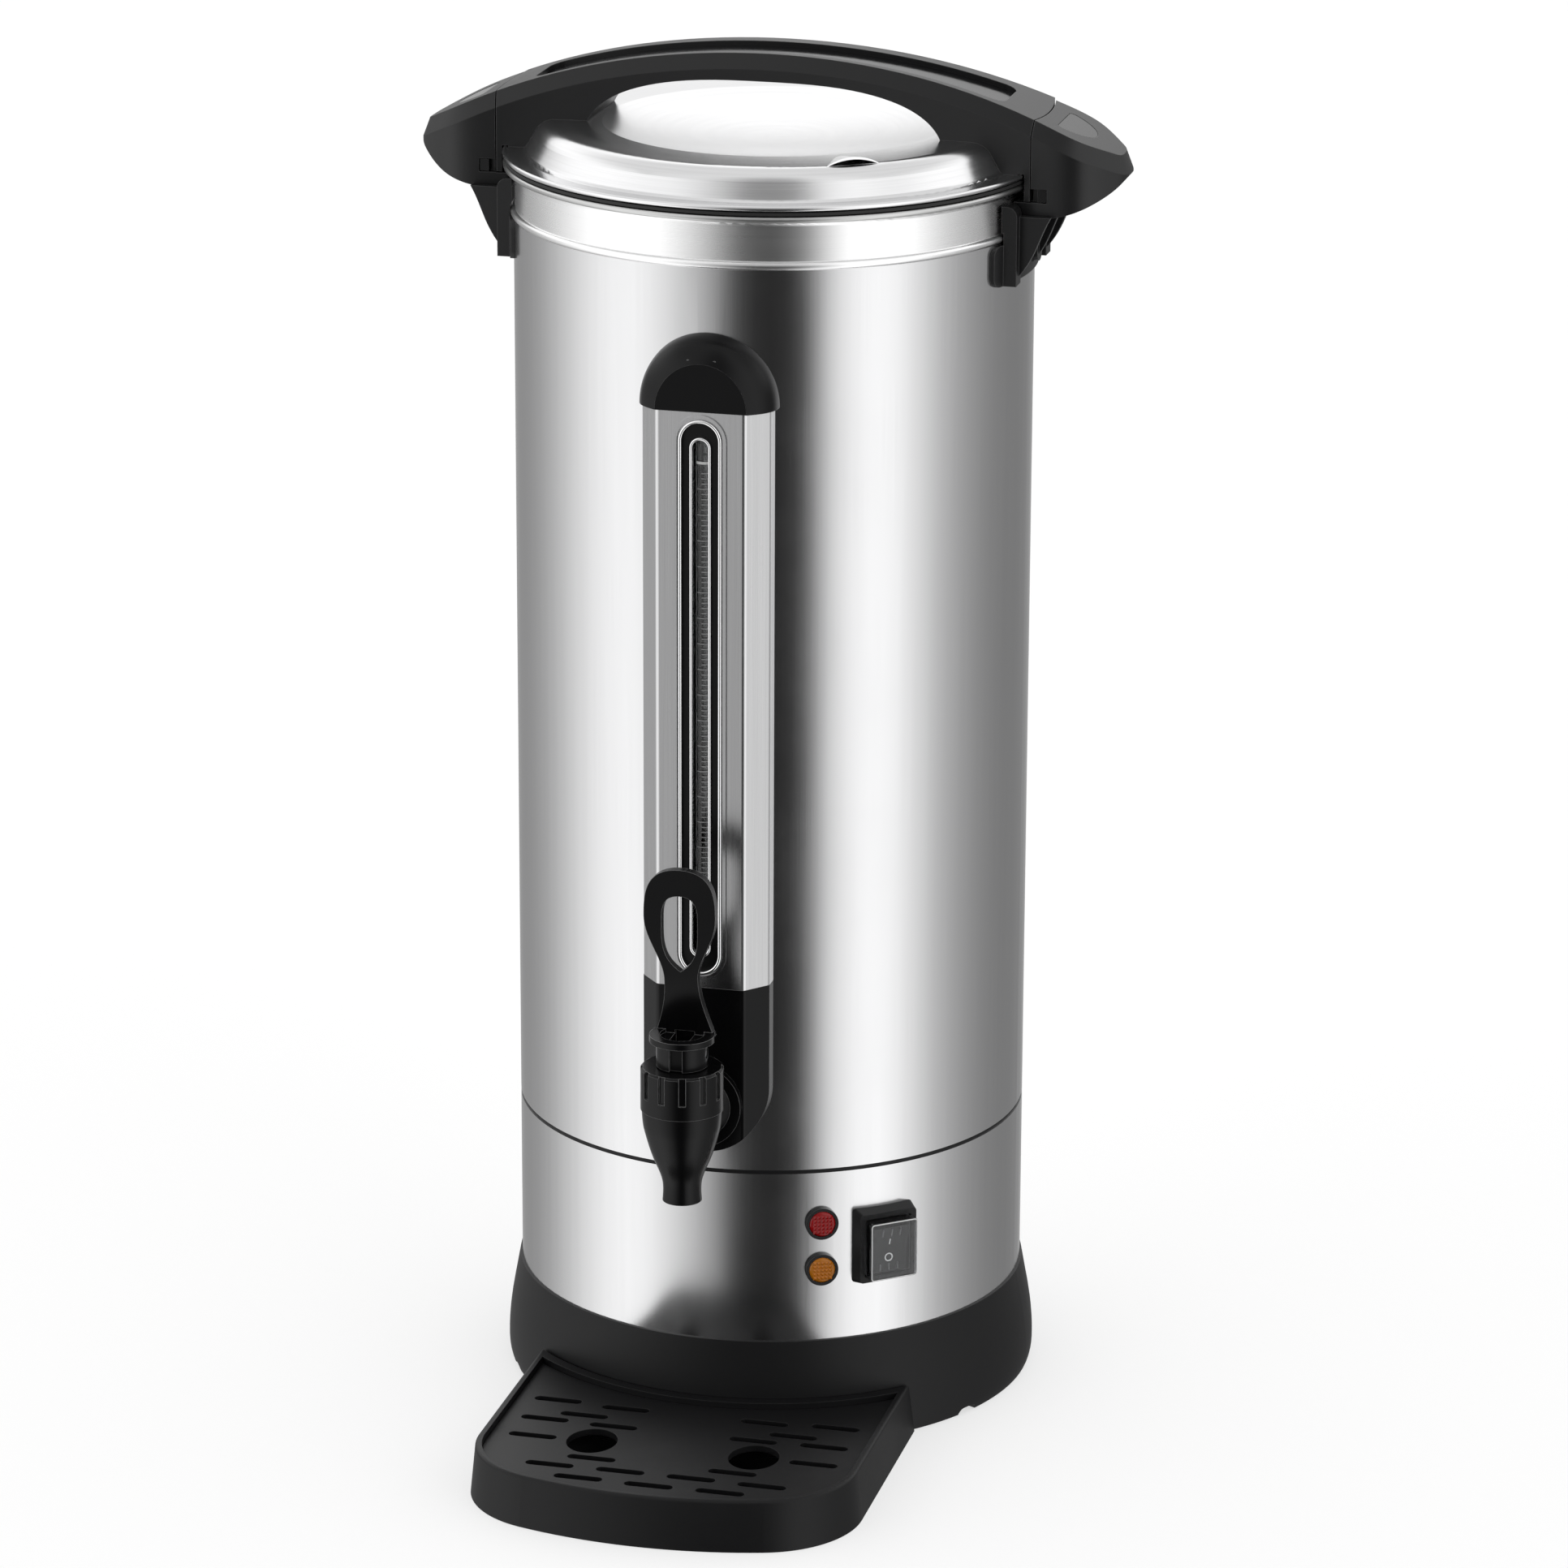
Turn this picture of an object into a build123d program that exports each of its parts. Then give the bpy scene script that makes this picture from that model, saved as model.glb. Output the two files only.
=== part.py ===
from build123d import *
import os
from math import cos, radians, sin, tan

# Percolating coffee urn of about ten litres, in millimetres.
# The origin is on the body's axis at the table, +Z is up and the tap faces -Y.
os.makedirs("parts", exist_ok=True)

# ---------------------------------------------------------------- driving dimensions

# Round body, from the table up
body_radius = 100.0  # outside of the shell and of the control band
wall = 0.8  # stainless sheet
skirt_height = 42.0
band_height = 69.2
seam_height = 1.6  # black line between band and shell
shell_height = 354.5
collar_height = 19.3
slip = 0.1  # between pieces pushed into each other
running = 0.3  # between pieces that move past each other
pivot_play = 0.05  # radial, of a pin in its hole
touch = 0.05  # between a moulding and the round wall it is screwed to
tool_depth = 15.0  # cutting tools start this far inside a round wall and end as far outside

# Fasteners
screw_radius = 1.75
screw_head_radius = 3.5
screw_head_height = 1.5

# Base skirt and bottom plate
skirt_foot_out = 4.2  # how far each level of the skirt stands out from the body
skirt_belly_out = 5.5
skirt_top_out = 0.8
skirt_belly_height = 7.5
skirt_wall = 3.0
skirt_ledge = 3.0
skirt_lip = 4.0  # upstand that centres the control band
notch_angle = 62.0
notch_width = 5.0
notch_height = 2.5
plate_bottom = 3.0
plate_thickness = 1.5
boss_in = 12.0  # circle of the plate's screws, inside the body's face
boss_radius = 4.5
boss_top = 38.0
rib_thickness = 2.4
foot_in = 20.0
foot_radius = 9.0
foot_stem_radius = 3.5
vent_circle = 45.0
vent_count = 12

# Seam ring, collar and tank
joint_overlap = 5.2  # how far the seam ring reaches into band and shell
sleeve_depth = 12.3  # how far the collar reaches into the shell
bead_out = 1.2
bead_height = 3.4
collar_in = 0.4  # the collar stands this far inside the shell's face
curl_out = 1.4
tank_gap = 7.0  # between the body's face and the tank's outside
tank_floor_drop = 25.5  # the tank's floor lies this far below the tap's axis
tank_corner = 12.0
well_radius = 30.0
well_depth = 5.0
rim_out = 2.75  # centre of the tank's rolled rim, outside the body's face
rim_roll = 1.25

# Tap
tap_rise = 32.3  # tap axis above the control band
tap_out = 27.0  # tap axis in front of the gauge's flat
shank_radius = 8.0
shank_bore = 4.5
flange_radius = 16.5
flange_thickness = 3.0
shank_inside = 13.0  # how far it reaches inside the tank's wall
nozzle_bore = 5.5
nozzle_radius = 7.5
nozzle_drop = 29.1
groove_length = 11.0
groove_width = 2.6
groove_depth = 0.9
cup_height = 6.0
stem_collar = 7.5
spring_turns = 4
chamber_radius = 10.0
bonnet_radius = 15.8
bonnet_gap = 8.0  # bonnet's lower edge above the tap's axis
bonnet_height = 16.8
bonnet_groove_count = 12
neck_radius = 9.8
neck_height = 9.7
pin_rise = 5.2  # lever pin above the neck's lower face
disc_out = 2.6  # the disc stands this far outside the neck
disc_thickness = 2.5
stem_radius = 3.5
pin_radius = 1.95
lever_gap = 0.5  # between the bonnet and the lever's neck
lever_thickness = 3.6
lever_length = 66.0  # above the disc
loop_half = 13.9
loop_drop = 18.5  # widest place below the lever's top
loop_rim = 10.3
waist_half = 6.5
waist_drop = 44.0
lever_foot_half = 11.4
hole_half = 7.0
hole_length = 30.3
dimple_radius = 8.4
dimple_depth = 1.4

# Level gauge
gauge_out = 12.0  # front of the gauge from the body's face
gauge_flat = 17.0  # half width of its front
gauge_half = 24.8  # half width at its side
gauge_side_out = 2.8
gauge_rise = 10.5  # steel cover's lower end above the lower fitting
gauge_drop = 51.8  # its upper end below the shell's upper edge
plate_drop = 19.5  # tap plate's lower end below the tap's axis
plate_corner = 24.0
window_half = 7.1
window_low_margin = 6.4
window_high_margin = 3.9
bead_frame_half = 10.1
bead_width = 1.2
bead_stand = 0.8
gauge_bend = 2.2
bezel_half = 4.1
bezel_opening = 3.05
bezel_margin = 5.6
tube_radius = 4.0
tube_bore = 2.8
tube_out = 5.6
stub_radius = 3.6
stub_rise = 36.5  # lower fitting above the tap's axis
stub_over = 12.5  # upper fitting above the steel cover
fitting_radius = 5.0
socket_start = 4.0
socket_depth = 7.0
stub_inside = 7.0
stub_bore = 2.0
nut_radius = 6.5
cap_height = 27.5
cap_out = 1.5  # the cap stands this far outside the steel cover

# Lamps and switch, placed by angle from -Y towards +X
lamp_angle = 25.3
lamp_rises = (48.6, 29.6)  # above the band's lower edge
lamp_bezel_radius = 6.4
lamp_lens_radius = 5.15
lamp_barrel_radius = 4.7
switch_angle = 39.7
switch_rise = 37.9
switch_width = 25.6
switch_tall = 30.6
switch_out = 5.0
rocker_width = 15.2
rocker_tall = 19.6
rocker_throw = 18.0  # degrees, off to on
lamp_out = 1.8
switch_depth = 14.0
rocker_pivot = 1.5  # outward from the wall
rocker_face = 3.7  # the rocker's valley, from its pivot
trunnion_radius = 1.5
trunnion_length = 1.4
cover_width = 20.0
cover_tall = 23.6
cover_wall = 0.7
cover_lip = 1.0
cover_out = 5.5

# Power inlet and reset button at the back
inlet_rise = 32.0
inlet_width = 27.5
inlet_tall = 20.0
inlet_screws_half = 20.0
reset_angle = 150.0
reset_radius = 3.0
reset_travel = 1.5
inlet_out = 3.0
inlet_depth = 22.0
inlet_screw = 1.45
socket_width = 24.0
socket_tall = 16.0
socket_reach = 17.0
pin_spots = ((-7.0, -2.0), (0.0, 2.0), (7.0, -2.0))
blade_width = 2.0
blade_tall = 4.0
blade_back = 4.0  # tabs behind the inlet
blade_short = 3.0  # below the inlet's face

# Lid
lid_sheet = 0.9
lid_edge_out = 4.2
lid_roll = 1.0
lid_rise = 5.1  # flange above the collar
lid_depth = 11.3  # flat top above the flange
dish_in = 34.0  # the dish's edge inside the body's face
dish_sunk = 6.2
shoulder_in = 11.0  # where the shoulder's flat and its slope would meet
lid_wall_in = 4.5  # where the slope and the flange would meet
lid_corner_radii = (8.6, 2.2)
vent_angle = 34.0
vent_from_dish = 7.0
vent_length = 12.0
vent_half = 11.0
vent_rise = 3.3
vent_tail = 4.0
vent_tail_rise = 1.3
vent_sunk = 0.4
vent_sheet = 0.7
seal_lip_drop = 5.6  # below the collar's top

# Handles
arch_rise = 28.45  # top of the arch above the lid
arch_drop = 15.48  # fall of the arch at 100 mm from the middle, and its fourth power
arch_drop_fourth = 1.40
arch_thickness = 10.2
arch_half_mid = 17.3
arch_half_end = 23.0
edge_in = 3.1  # bevel along the arch's upper edges
edge_down = 5.7
split_out = 6.7
split_gap = 0.4
grip_length = 39.0  # beyond the body's face
lip_drop = 4.6  # below the collar's top
arch_leg_in = 30.0
recess_in = 14.7
recess_half_mid = 10.6
recess_half_end = 14.0
recess_depth = 3.2
inlay_thickness = 1.2
bracket_drop = 16.3  # below the shell's upper edge
bracket_screw_rises = (8.0, 25.0)
lid_screw_in = 22.0
lid_screw_y = 9.0
arch_steps = 4
recess_corner = 5.0
grip_drop = 10.6
arm_out = 1.6
arm_inner = 23.5
arm_outer = 31.5
web_out = 25.5
web_thickness = 3.0
pad_half = 37.5
screw_boss_radius = 4.5
handle_screw_length = 4.8
screw_boss_length = 2.4  # beyond the arms
catch_inner = 20.0
catch_reach = 4.1
catch_height = 4.6
thumb_gap = 5.8
thumb_length = 13.0
thumb_half = 12.5
thumb_depth = 1.0
thumb_thickness = 0.9

# Drip tray
tray_height = 20.0
tray_half = 76.5
tray_reach = 107.0  # beyond the body's face
tray_corner = 40.0
tray_front_radius = 171.0
tray_wall = 2.5
tray_round = 1.2
tray_floor = 2.0
grille_top = 17.5
grille_thickness = 2.5
grille_pitch = 13.87
slot_length = 19.0
slot_width = 4.2
finger_x = 32.0
finger_back = 53.5  # behind the tray's front
finger_width = 19.5
finger_length = 23.5
tongue_x = 35.0
tongue_width = 14.0
tongue_low = 0.6
tongue_thickness = 2.0
tray_taper = 2.0
tray_gap = 5.9  # between the body's face and the tray's back
tray_rear_wall = 4.1
tray_ledge = 2.0
grille_rows = (  # for each column from the middle, distances of its slots from the front
    (18.0,),
    (28.4,),
    (87.0, 69.2, 37.4, 18.5),
    (77.0, 28.0),
    (89.0, 70.0, 53.0),
)

# Percolator
pump_tube_radius = 5.0
pump_tube_bore = 4.0
pump_base_radius = 28.5
pump_rise = 22.0  # tube's top above the basket
basket_gap = 11.0  # between basket and tank
basket_drop = 34.6  # basket's rim below the collar's top
basket_depth = 74.0
hub_radius = 6.6
hole_circles = (22.0, 42.0, 62.0)
hole_count = 6  # in the first circle
hole_radius = 1.5

# Heating under the tank
element_circle = 52.0
element_radius = 4.0

# ---------------------------------------------------------------- levels and shared sizes

band_bottom = skirt_height
band_top = band_bottom + band_height
shell_bottom = band_top + seam_height
shell_top = shell_bottom + shell_height
collar_top = shell_top + collar_height
inside_radius = body_radius - wall
sleeve_radius = inside_radius - slip
plate_top = plate_bottom + plate_thickness
plate_pocket = body_radius + skirt_foot_out - skirt_wall
boss_circle = body_radius - boss_in
foot_circle = body_radius - foot_in
band_seat = inside_radius - running
ledge_radius = band_seat - 2.5
lamp_heights = [band_bottom + rise for rise in lamp_rises]
switch_height = band_bottom + switch_rise
inlet_height = band_bottom + inlet_rise

tap_height = band_top + tap_rise
tank_radius = body_radius - tank_gap
tank_inside = tank_radius - wall
tank_bottom = tap_height - tank_floor_drop
tank_flange = collar_top
rim_radius = body_radius + rim_out
rim_top = tank_flange + wall / 2 + rim_roll
handle_screw_seat = sleeve_radius - wall - slip

gauge_front = -(body_radius + gauge_out)
stub_low = tap_height + stub_rise
gauge_bottom = stub_low + gauge_rise
gauge_top = shell_top - gauge_drop
stub_high = gauge_top + stub_over
stub_inner = tank_radius - stub_inside
plate_low = tap_height - plate_drop
window_low = gauge_bottom + window_low_margin
window_high = gauge_top - window_high_margin
bezel_low = window_low + bezel_margin
bezel_high = window_high - bezel_margin
tube_y = -(body_radius + tube_out)

tap_reach = body_radius + gauge_out + tap_out
shank_inner = tank_radius - shank_inside
seat_top = tap_height - 2.5
cup_top = seat_top + cup_height
bonnet_bottom = tap_height + bonnet_gap
bonnet_top = bonnet_bottom + bonnet_height
neck_bottom = bonnet_top + lever_gap
pin_height = neck_bottom + pin_rise
disc_bottom = neck_bottom + neck_height
disc_top = disc_bottom + disc_thickness
lever_top = disc_top + lever_length

lid_edge_radius = body_radius + lid_edge_out
lid_flange_height = collar_top + lid_rise
lid_top_height = lid_flange_height + lid_depth
dish_radius = body_radius - dish_in
dish_low = lid_top_height - dish_sunk
shoulder_radius = body_radius - shoulder_in
lid_wall_radius = body_radius - lid_wall_in
vent_inner = dish_radius + vent_from_dish
vent_outer = vent_inner + vent_length
seal_lip_bottom = collar_top - seal_lip_drop

arch_height = lid_top_height + arch_rise
tools_top = arch_height + 20  # cutting tools run past the arch
split_radius = body_radius + split_out
grip_tip = body_radius + grip_length
lip_bottom = collar_top - lip_drop
arch_leg = body_radius - arch_leg_in
recess_reach = split_radius - recess_in
bracket_bottom = shell_top - bracket_drop
bracket_screws = [bracket_bottom + rise for rise in bracket_screw_rises]
lid_screw_x = body_radius - lid_screw_in
grip_bottom = collar_top - grip_drop
arm_face = body_radius + arm_out
thumb_start = split_radius + thumb_gap
thumb_end = thumb_start + thumb_length

tray_front = body_radius + tray_reach
tray_back = body_radius + tray_gap
tray_rear = tray_back + tray_rear_wall
basket_high = collar_top - basket_drop
basket_low = basket_high - basket_depth
basket_radius = tank_radius - basket_gap
pump_top = basket_high + pump_rise


# ---------------------------------------------------------------- helpers


def wall_plane(angle, height, radius=body_radius):
    """Plane standing on the round wall: x to the right, y up, z outward."""
    turn = radians(angle)
    return Plane(
        origin=(radius * sin(turn), -radius * cos(turn), height),
        x_dir=(cos(turn), sin(turn), 0),
        z_dir=(sin(turn), -cos(turn), 0),
    )


def radial_plane(angle):
    """Plane through the axis: x outward at this angle from +X, y up."""
    turn = radians(angle)
    return Plane(origin=(0, 0, 0), x_dir=(cos(turn), sin(turn), 0), z_dir=(sin(turn), -cos(turn), 0))


def ring(inner, outer, bottom, top, mode=Mode.ADD):
    """Round wall about the axis."""
    with BuildSketch(Plane.XY.offset(bottom)) as face:
        Circle(outer)
        Circle(inner, mode=Mode.SUBTRACT)
    extrude(face.sketch, amount=top - bottom, mode=mode)


def cylinder(radius, plane, depth, mode=Mode.ADD):
    """Round bar or hole that starts on a plane and runs along its normal."""
    with BuildSketch(plane) as face:
        Circle(radius)
    extrude(face.sketch, amount=depth, mode=mode)


def through_wall(radius, angle, height, wall_radius=body_radius):
    """Round hole through a wall that stands at this radius."""
    cylinder(
        radius,
        wall_plane(angle, height, wall_radius - tool_depth),
        2 * tool_depth,
        mode=Mode.SUBTRACT,
    )


def upright(radius, y, bottom, top, mode=Mode.ADD):
    """Upright round bar or hole in front of the body's axis."""
    cylinder(radius, Plane((0, y, bottom)), top - bottom, mode=mode)


def turned(*points, mode=Mode.ADD):
    """Straight-sided section of (radius, height) points, turned about the axis."""
    with BuildSketch(Plane.XZ) as face:
        with BuildLine():
            Polyline(*points, close=True)
        make_face()
    revolve(face.sketch, axis=Axis.Z, mode=mode)


def clear_of_body(mode=Mode.SUBTRACT):
    """Take away the round body, with room for a flush seat."""
    cylinder(body_radius + touch, Plane.XY, arch_height, mode=mode)


def arch_top(x, depth=0.0):
    """Height of the handles' upper face, or of a curve that deep below it."""
    share = x / 100
    return arch_height - arch_drop * share**2 - arch_drop_fourth * share**4 - depth


# ---------------------------------------------------------------- base

with BuildPart() as base_skirt:
    foot = (body_radius + skirt_foot_out, 0)
    belly = (body_radius + skirt_belly_out, skirt_belly_height)
    shoulder = (body_radius + skirt_top_out, skirt_height)
    with BuildSketch(Plane.XZ):
        with BuildLine():
            Spline(foot, belly, tangents=((1, 2), (0, 1)))
            Spline(belly, shoulder, tangents=((0, 1), (-1, 6)))
            Polyline(
                shoulder,
                (band_seat, skirt_height),
                (band_seat, skirt_height + skirt_lip),
                (ledge_radius, skirt_height + skirt_lip),
                (ledge_radius, skirt_height - skirt_ledge),
                (plate_pocket, skirt_belly_height),
                (plate_pocket, 0),
                foot,
            )
        make_face()
    revolve(axis=Axis.Z)
    with BuildSketch(Plane.XY.offset(plate_top)):
        with PolarLocations(boss_circle, 4):
            Circle(boss_radius)
    extrude(amount=boss_top - plate_top)
    for quarter in range(4):
        with BuildSketch(radial_plane(90 * quarter)):
            with BuildLine():
                Polyline(
                    (boss_circle, plate_top),
                    (plate_pocket + 1, plate_top),
                    (ledge_radius + 1, boss_top),
                    (boss_circle, boss_top),
                    close=True,
                )
            make_face()
        extrude(amount=rib_thickness / 2, both=True)
    with BuildSketch(Plane.XY.offset(plate_top)):
        with PolarLocations(boss_circle, 4):
            Circle(screw_radius + pivot_play)
    extrude(amount=12, mode=Mode.SUBTRACT)
    for angle in (-notch_angle, notch_angle):
        with BuildSketch(wall_plane(angle, 0)):
            SlotOverall(2 * notch_height + notch_width, 2 * notch_height)
        extrude(amount=10, mode=Mode.SUBTRACT)
    for side in (-1, 1):
        with BuildSketch(Plane.XZ.offset(ledge_radius - 20)):
            with Locations((side * tongue_x, plate_bottom / 2)):
                Rectangle(tongue_width + 1, plate_bottom)
        extrude(amount=40, mode=Mode.SUBTRACT)

with BuildPart() as bottom_plate:
    cylinder(plate_pocket - 2 * slip, Plane.XY.offset(plate_bottom), plate_thickness)
    with BuildSketch(Plane.XY.offset(plate_bottom)):
        with PolarLocations(boss_circle, 4):
            Circle(screw_radius + 2 * slip)
        with PolarLocations(foot_circle, 4, start_angle=45):
            Circle(foot_stem_radius + slip)
        with PolarLocations(vent_circle, vent_count):
            SlotOverall(18, 4)
    extrude(amount=plate_thickness, mode=Mode.SUBTRACT)

with BuildPart() as bottom_screws:
    with BuildSketch(Plane.XY.offset(plate_bottom - screw_head_height)):
        with PolarLocations(boss_circle, 4):
            Circle(screw_head_radius)
    extrude(amount=screw_head_height)
    with BuildSketch(Plane.XY.offset(plate_bottom)):
        with PolarLocations(boss_circle, 4):
            Circle(screw_radius)
    extrude(amount=11)

with BuildPart() as rubber_feet:
    levels = (
        (foot_radius, 0, plate_bottom),
        (foot_stem_radius, plate_bottom, plate_top),
        (foot_stem_radius + 1.3, plate_top, plate_top + 2.5),
    )
    for radius, low, high in levels:
        with BuildSketch(Plane.XY.offset(low)):
            with PolarLocations(foot_circle, 4, start_angle=45):
                Circle(radius)
        extrude(amount=high - low)

# ---------------------------------------------------------------- round sheet metal

with BuildPart() as control_band:
    ring(inside_radius, body_radius, band_bottom, band_top)
    with BuildSketch(wall_plane(switch_angle, switch_height, body_radius - tool_depth)):
        Rectangle(switch_width - 4, switch_tall - 4)
    extrude(amount=2 * tool_depth, mode=Mode.SUBTRACT)
    for height in lamp_heights:
        through_wall(lamp_barrel_radius + slip, lamp_angle, height)
    with BuildSketch(wall_plane(180, inlet_height, body_radius - tool_depth)):
        Rectangle(inlet_width + 2 * slip, inlet_tall + 2 * slip)
        with Locations((-inlet_screws_half, 0), (inlet_screws_half, 0)):
            Circle(screw_radius + slip)
    extrude(amount=2 * tool_depth, mode=Mode.SUBTRACT)
    through_wall(reset_radius + 1.5 + slip, reset_angle, inlet_height)

with BuildPart() as seam_ring:
    inner = sleeve_radius - 1.9
    turned(
        (inner, band_top - joint_overlap),
        (sleeve_radius, band_top - joint_overlap),
        (sleeve_radius, band_top),
        (body_radius - running, band_top),
        (body_radius - running, shell_bottom),
        (sleeve_radius, shell_bottom),
        (sleeve_radius, shell_bottom + joint_overlap),
        (inner, shell_bottom + joint_overlap),
    )

with BuildPart() as outer_shell:
    ring(inside_radius, body_radius, shell_bottom, shell_top)
    for height, radius in (
        (tap_height, shank_radius + running),
        (stub_low, stub_radius + running),
        (stub_high, stub_radius + running),
    ):
        through_wall(radius, 0, height)
    for angle in (-90, 90):
        through_wall(screw_radius + slip, angle, bracket_screws[0])

with BuildPart() as collar:
    face = body_radius - collar_in
    inner = sleeve_radius - wall
    with BuildSketch(Plane.XZ):
        with BuildLine():
            Polyline(
                (face, shell_top + bead_height),
                (face, collar_top - 2.6),
            )
            TangentArc((face, collar_top - 2.6), (body_radius + curl_out, collar_top), tangent=(0, 1))
            Polyline(
                (body_radius + curl_out, collar_top),
                (inner, collar_top),
                (inner, shell_top - sleeve_depth),
                (sleeve_radius, shell_top - sleeve_depth),
                (sleeve_radius, shell_top),
                (body_radius, shell_top),
            )
            ThreePointArc(
                (body_radius, shell_top),
                (body_radius + bead_out, shell_top + bead_height / 2),
                (face, shell_top + bead_height),
            )
        make_face()
    revolve(axis=Axis.Z)
    for angle in (-90, 90):
        for height in bracket_screws:
            through_wall(screw_radius + slip, angle, height)

with BuildPart() as inner_tank:
    with BuildSketch(Plane.XZ):
        with BuildLine():
            FilletPolyline(
                (0, tank_bottom - well_depth),
                (well_radius, tank_bottom - well_depth),
                (well_radius, tank_bottom),
                (tank_radius, tank_bottom),
                (tank_radius, tank_flange),
                (rim_radius, tank_flange),
                radius=(2, 2, tank_corner, 1.5),
            )
            offset(amount=wall, side=Side.LEFT)
        make_face()
        with Locations((rim_radius, tank_flange + wall / 2)):
            Circle(rim_roll)
    revolve(axis=Axis.Z)
    for height, radius in (
        (tap_height, shank_radius + slip),
        (stub_low, stub_radius + slip),
        (stub_high, stub_radius + slip),
    ):
        through_wall(radius, 0, height, tank_radius)

# ---------------------------------------------------------------- level gauge


def gauge_section(plane, inset=0.0):
    """Five-sided section of the gauge housing, open to the round wall at its back."""
    side = gauge_half - inset
    front = gauge_front + inset
    cheek = -(body_radius + gauge_side_out) + inset / 2
    with BuildSketch(plane) as face:
        with BuildLine():
            Polyline(
                (-side, -body_radius + 12),
                (-side, cheek),
                (-gauge_flat + inset / 3, front),
                (gauge_flat - inset / 3, front),
                (side, cheek),
                (side, -body_radius + 12),
                close=True,
            )
        make_face()
    return face.sketch


def window_face(half, grow, low, high, plane):
    """Upright round-ended face: its half width, and how far it grows past low and high."""
    with BuildSketch(plane) as face:
        with Locations((0, (low + high) / 2)):
            SlotOverall(high - low + 2 * grow, 2 * half, rotation=90)
    return face.sketch


with BuildPart() as gauge_cover:
    extrude(gauge_section(Plane.XY.offset(gauge_bottom)), amount=gauge_top - gauge_bottom)
    fillet(gauge_cover.edges().filter_by(Axis.Z).group_by(Axis.Y)[0], radius=gauge_bend)
    fillet(gauge_cover.edges().filter_by(Axis.Z).group_by(Axis.Y)[-2], radius=gauge_bend)
    extrude(
        gauge_section(Plane.XY.offset(gauge_bottom), wall),
        amount=gauge_top - gauge_bottom,
        mode=Mode.SUBTRACT,
    )
    clear_of_body()
    face_plane = Plane.XZ.offset(-gauge_front)
    for half in (bead_frame_half, window_half + bead_width):
        grow = half - window_half
        bead = window_face(half, grow, window_low, window_high, face_plane)
        extrude(bead, amount=bead_stand)
        hollow = window_face(half - bead_width, grow - bead_width, window_low, window_high, face_plane)
        extrude(hollow, amount=bead_stand, mode=Mode.SUBTRACT)
    opening = window_face(window_half, 0, window_low, window_high, face_plane)
    extrude(opening, amount=2 * wall, both=True, mode=Mode.SUBTRACT)

with BuildPart() as gauge_cap:
    # stand-off from the body, half width and height of the half-oval sections
    for out, half, tall in (
        (-6.0, gauge_half + cap_out, cap_height),
        (1.5, gauge_half + cap_out - 0.1, cap_height - 0.2),
        (5.0, gauge_half + 0.1, cap_height - 1.7),
        (gauge_out - 3.0, gauge_half - 3.2, cap_height - 5.1),
        (gauge_out, gauge_flat + 0.6, cap_height - 9.2),
    ):
        with BuildSketch(Plane.XZ.offset(body_radius + out)):
            with BuildLine():
                Line((-half, gauge_top), (half, gauge_top))
                EllipticalCenterArc((0, gauge_top), half, tall, start_angle=0, arc_size=180)
            make_face()
    loft()
    clear_of_body()
    with BuildSketch(Plane.XY.offset(gauge_top)):
        with Locations((0, tube_y)):
            Rectangle(2 * fitting_radius + 1, 2 * fitting_radius + running)
        with Locations((0, -body_radius)):
            Rectangle(2 * fitting_radius + 1, 6)
    extrude(amount=stub_high + fitting_radius + 2 - gauge_top, mode=Mode.SUBTRACT)

with BuildPart() as tap_plate:
    extrude(gauge_section(Plane.XY.offset(plate_low)), amount=gauge_bottom - plate_low)
    fillet(tap_plate.edges().filter_by(Axis.Z).group_by(Axis.Y)[0], radius=gauge_bend)
    with BuildSketch(Plane.XZ.offset(body_radius - 20)) as front:
        with Locations((0, plate_low)):
            Rectangle(2 * gauge_half, gauge_bottom - plate_low, align=(Align.CENTER, Align.MIN))
        fillet(front.vertices().group_by(Axis.Y)[0], radius=plate_corner)
    extrude(amount=40, mode=Mode.INTERSECT)
    clear_of_body()
    with BuildSketch(Plane.XY.offset(stub_low - fitting_radius - 2)):
        with Locations((0, -body_radius)):
            Rectangle(2 * fitting_radius + 1, 2 * (tube_out + fitting_radius + running))
    extrude(amount=gauge_bottom, mode=Mode.SUBTRACT)
    through_wall(shank_radius + slip, 0, tap_height, body_radius)

with BuildPart() as scale_plate:
    back = Plane.XZ.offset(-gauge_front - 2 * wall - slip)
    extrude(window_face(bead_frame_half - bead_width, 2, window_low, window_high, back), amount=wall)
    sleeve = window_face(bezel_half - 0.4, -0.4, bezel_low, bezel_high, back)
    extrude(sleeve, amount=wall, mode=Mode.SUBTRACT)

with BuildPart() as gauge_bezel:
    face_plane = Plane.XZ.offset(-gauge_front - wall - slip)
    extrude(window_face(bezel_half, 0, bezel_low, bezel_high, face_plane), amount=1.2)
    extrude(window_face(bezel_half - 0.5, -0.5, bezel_low, bezel_high, face_plane), amount=-1.2)
    inset = bezel_opening - bezel_half
    opening = window_face(bezel_opening, inset, bezel_low, bezel_high, face_plane)
    extrude(opening, amount=3, both=True, mode=Mode.SUBTRACT)

socket_low = stub_low + socket_start
socket_high = stub_high - socket_start

with BuildPart() as gauge_tube:
    upright(tube_radius, tube_y, socket_low, socket_high)
    upright(tube_bore, tube_y, socket_low, socket_high, mode=Mode.SUBTRACT)

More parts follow.
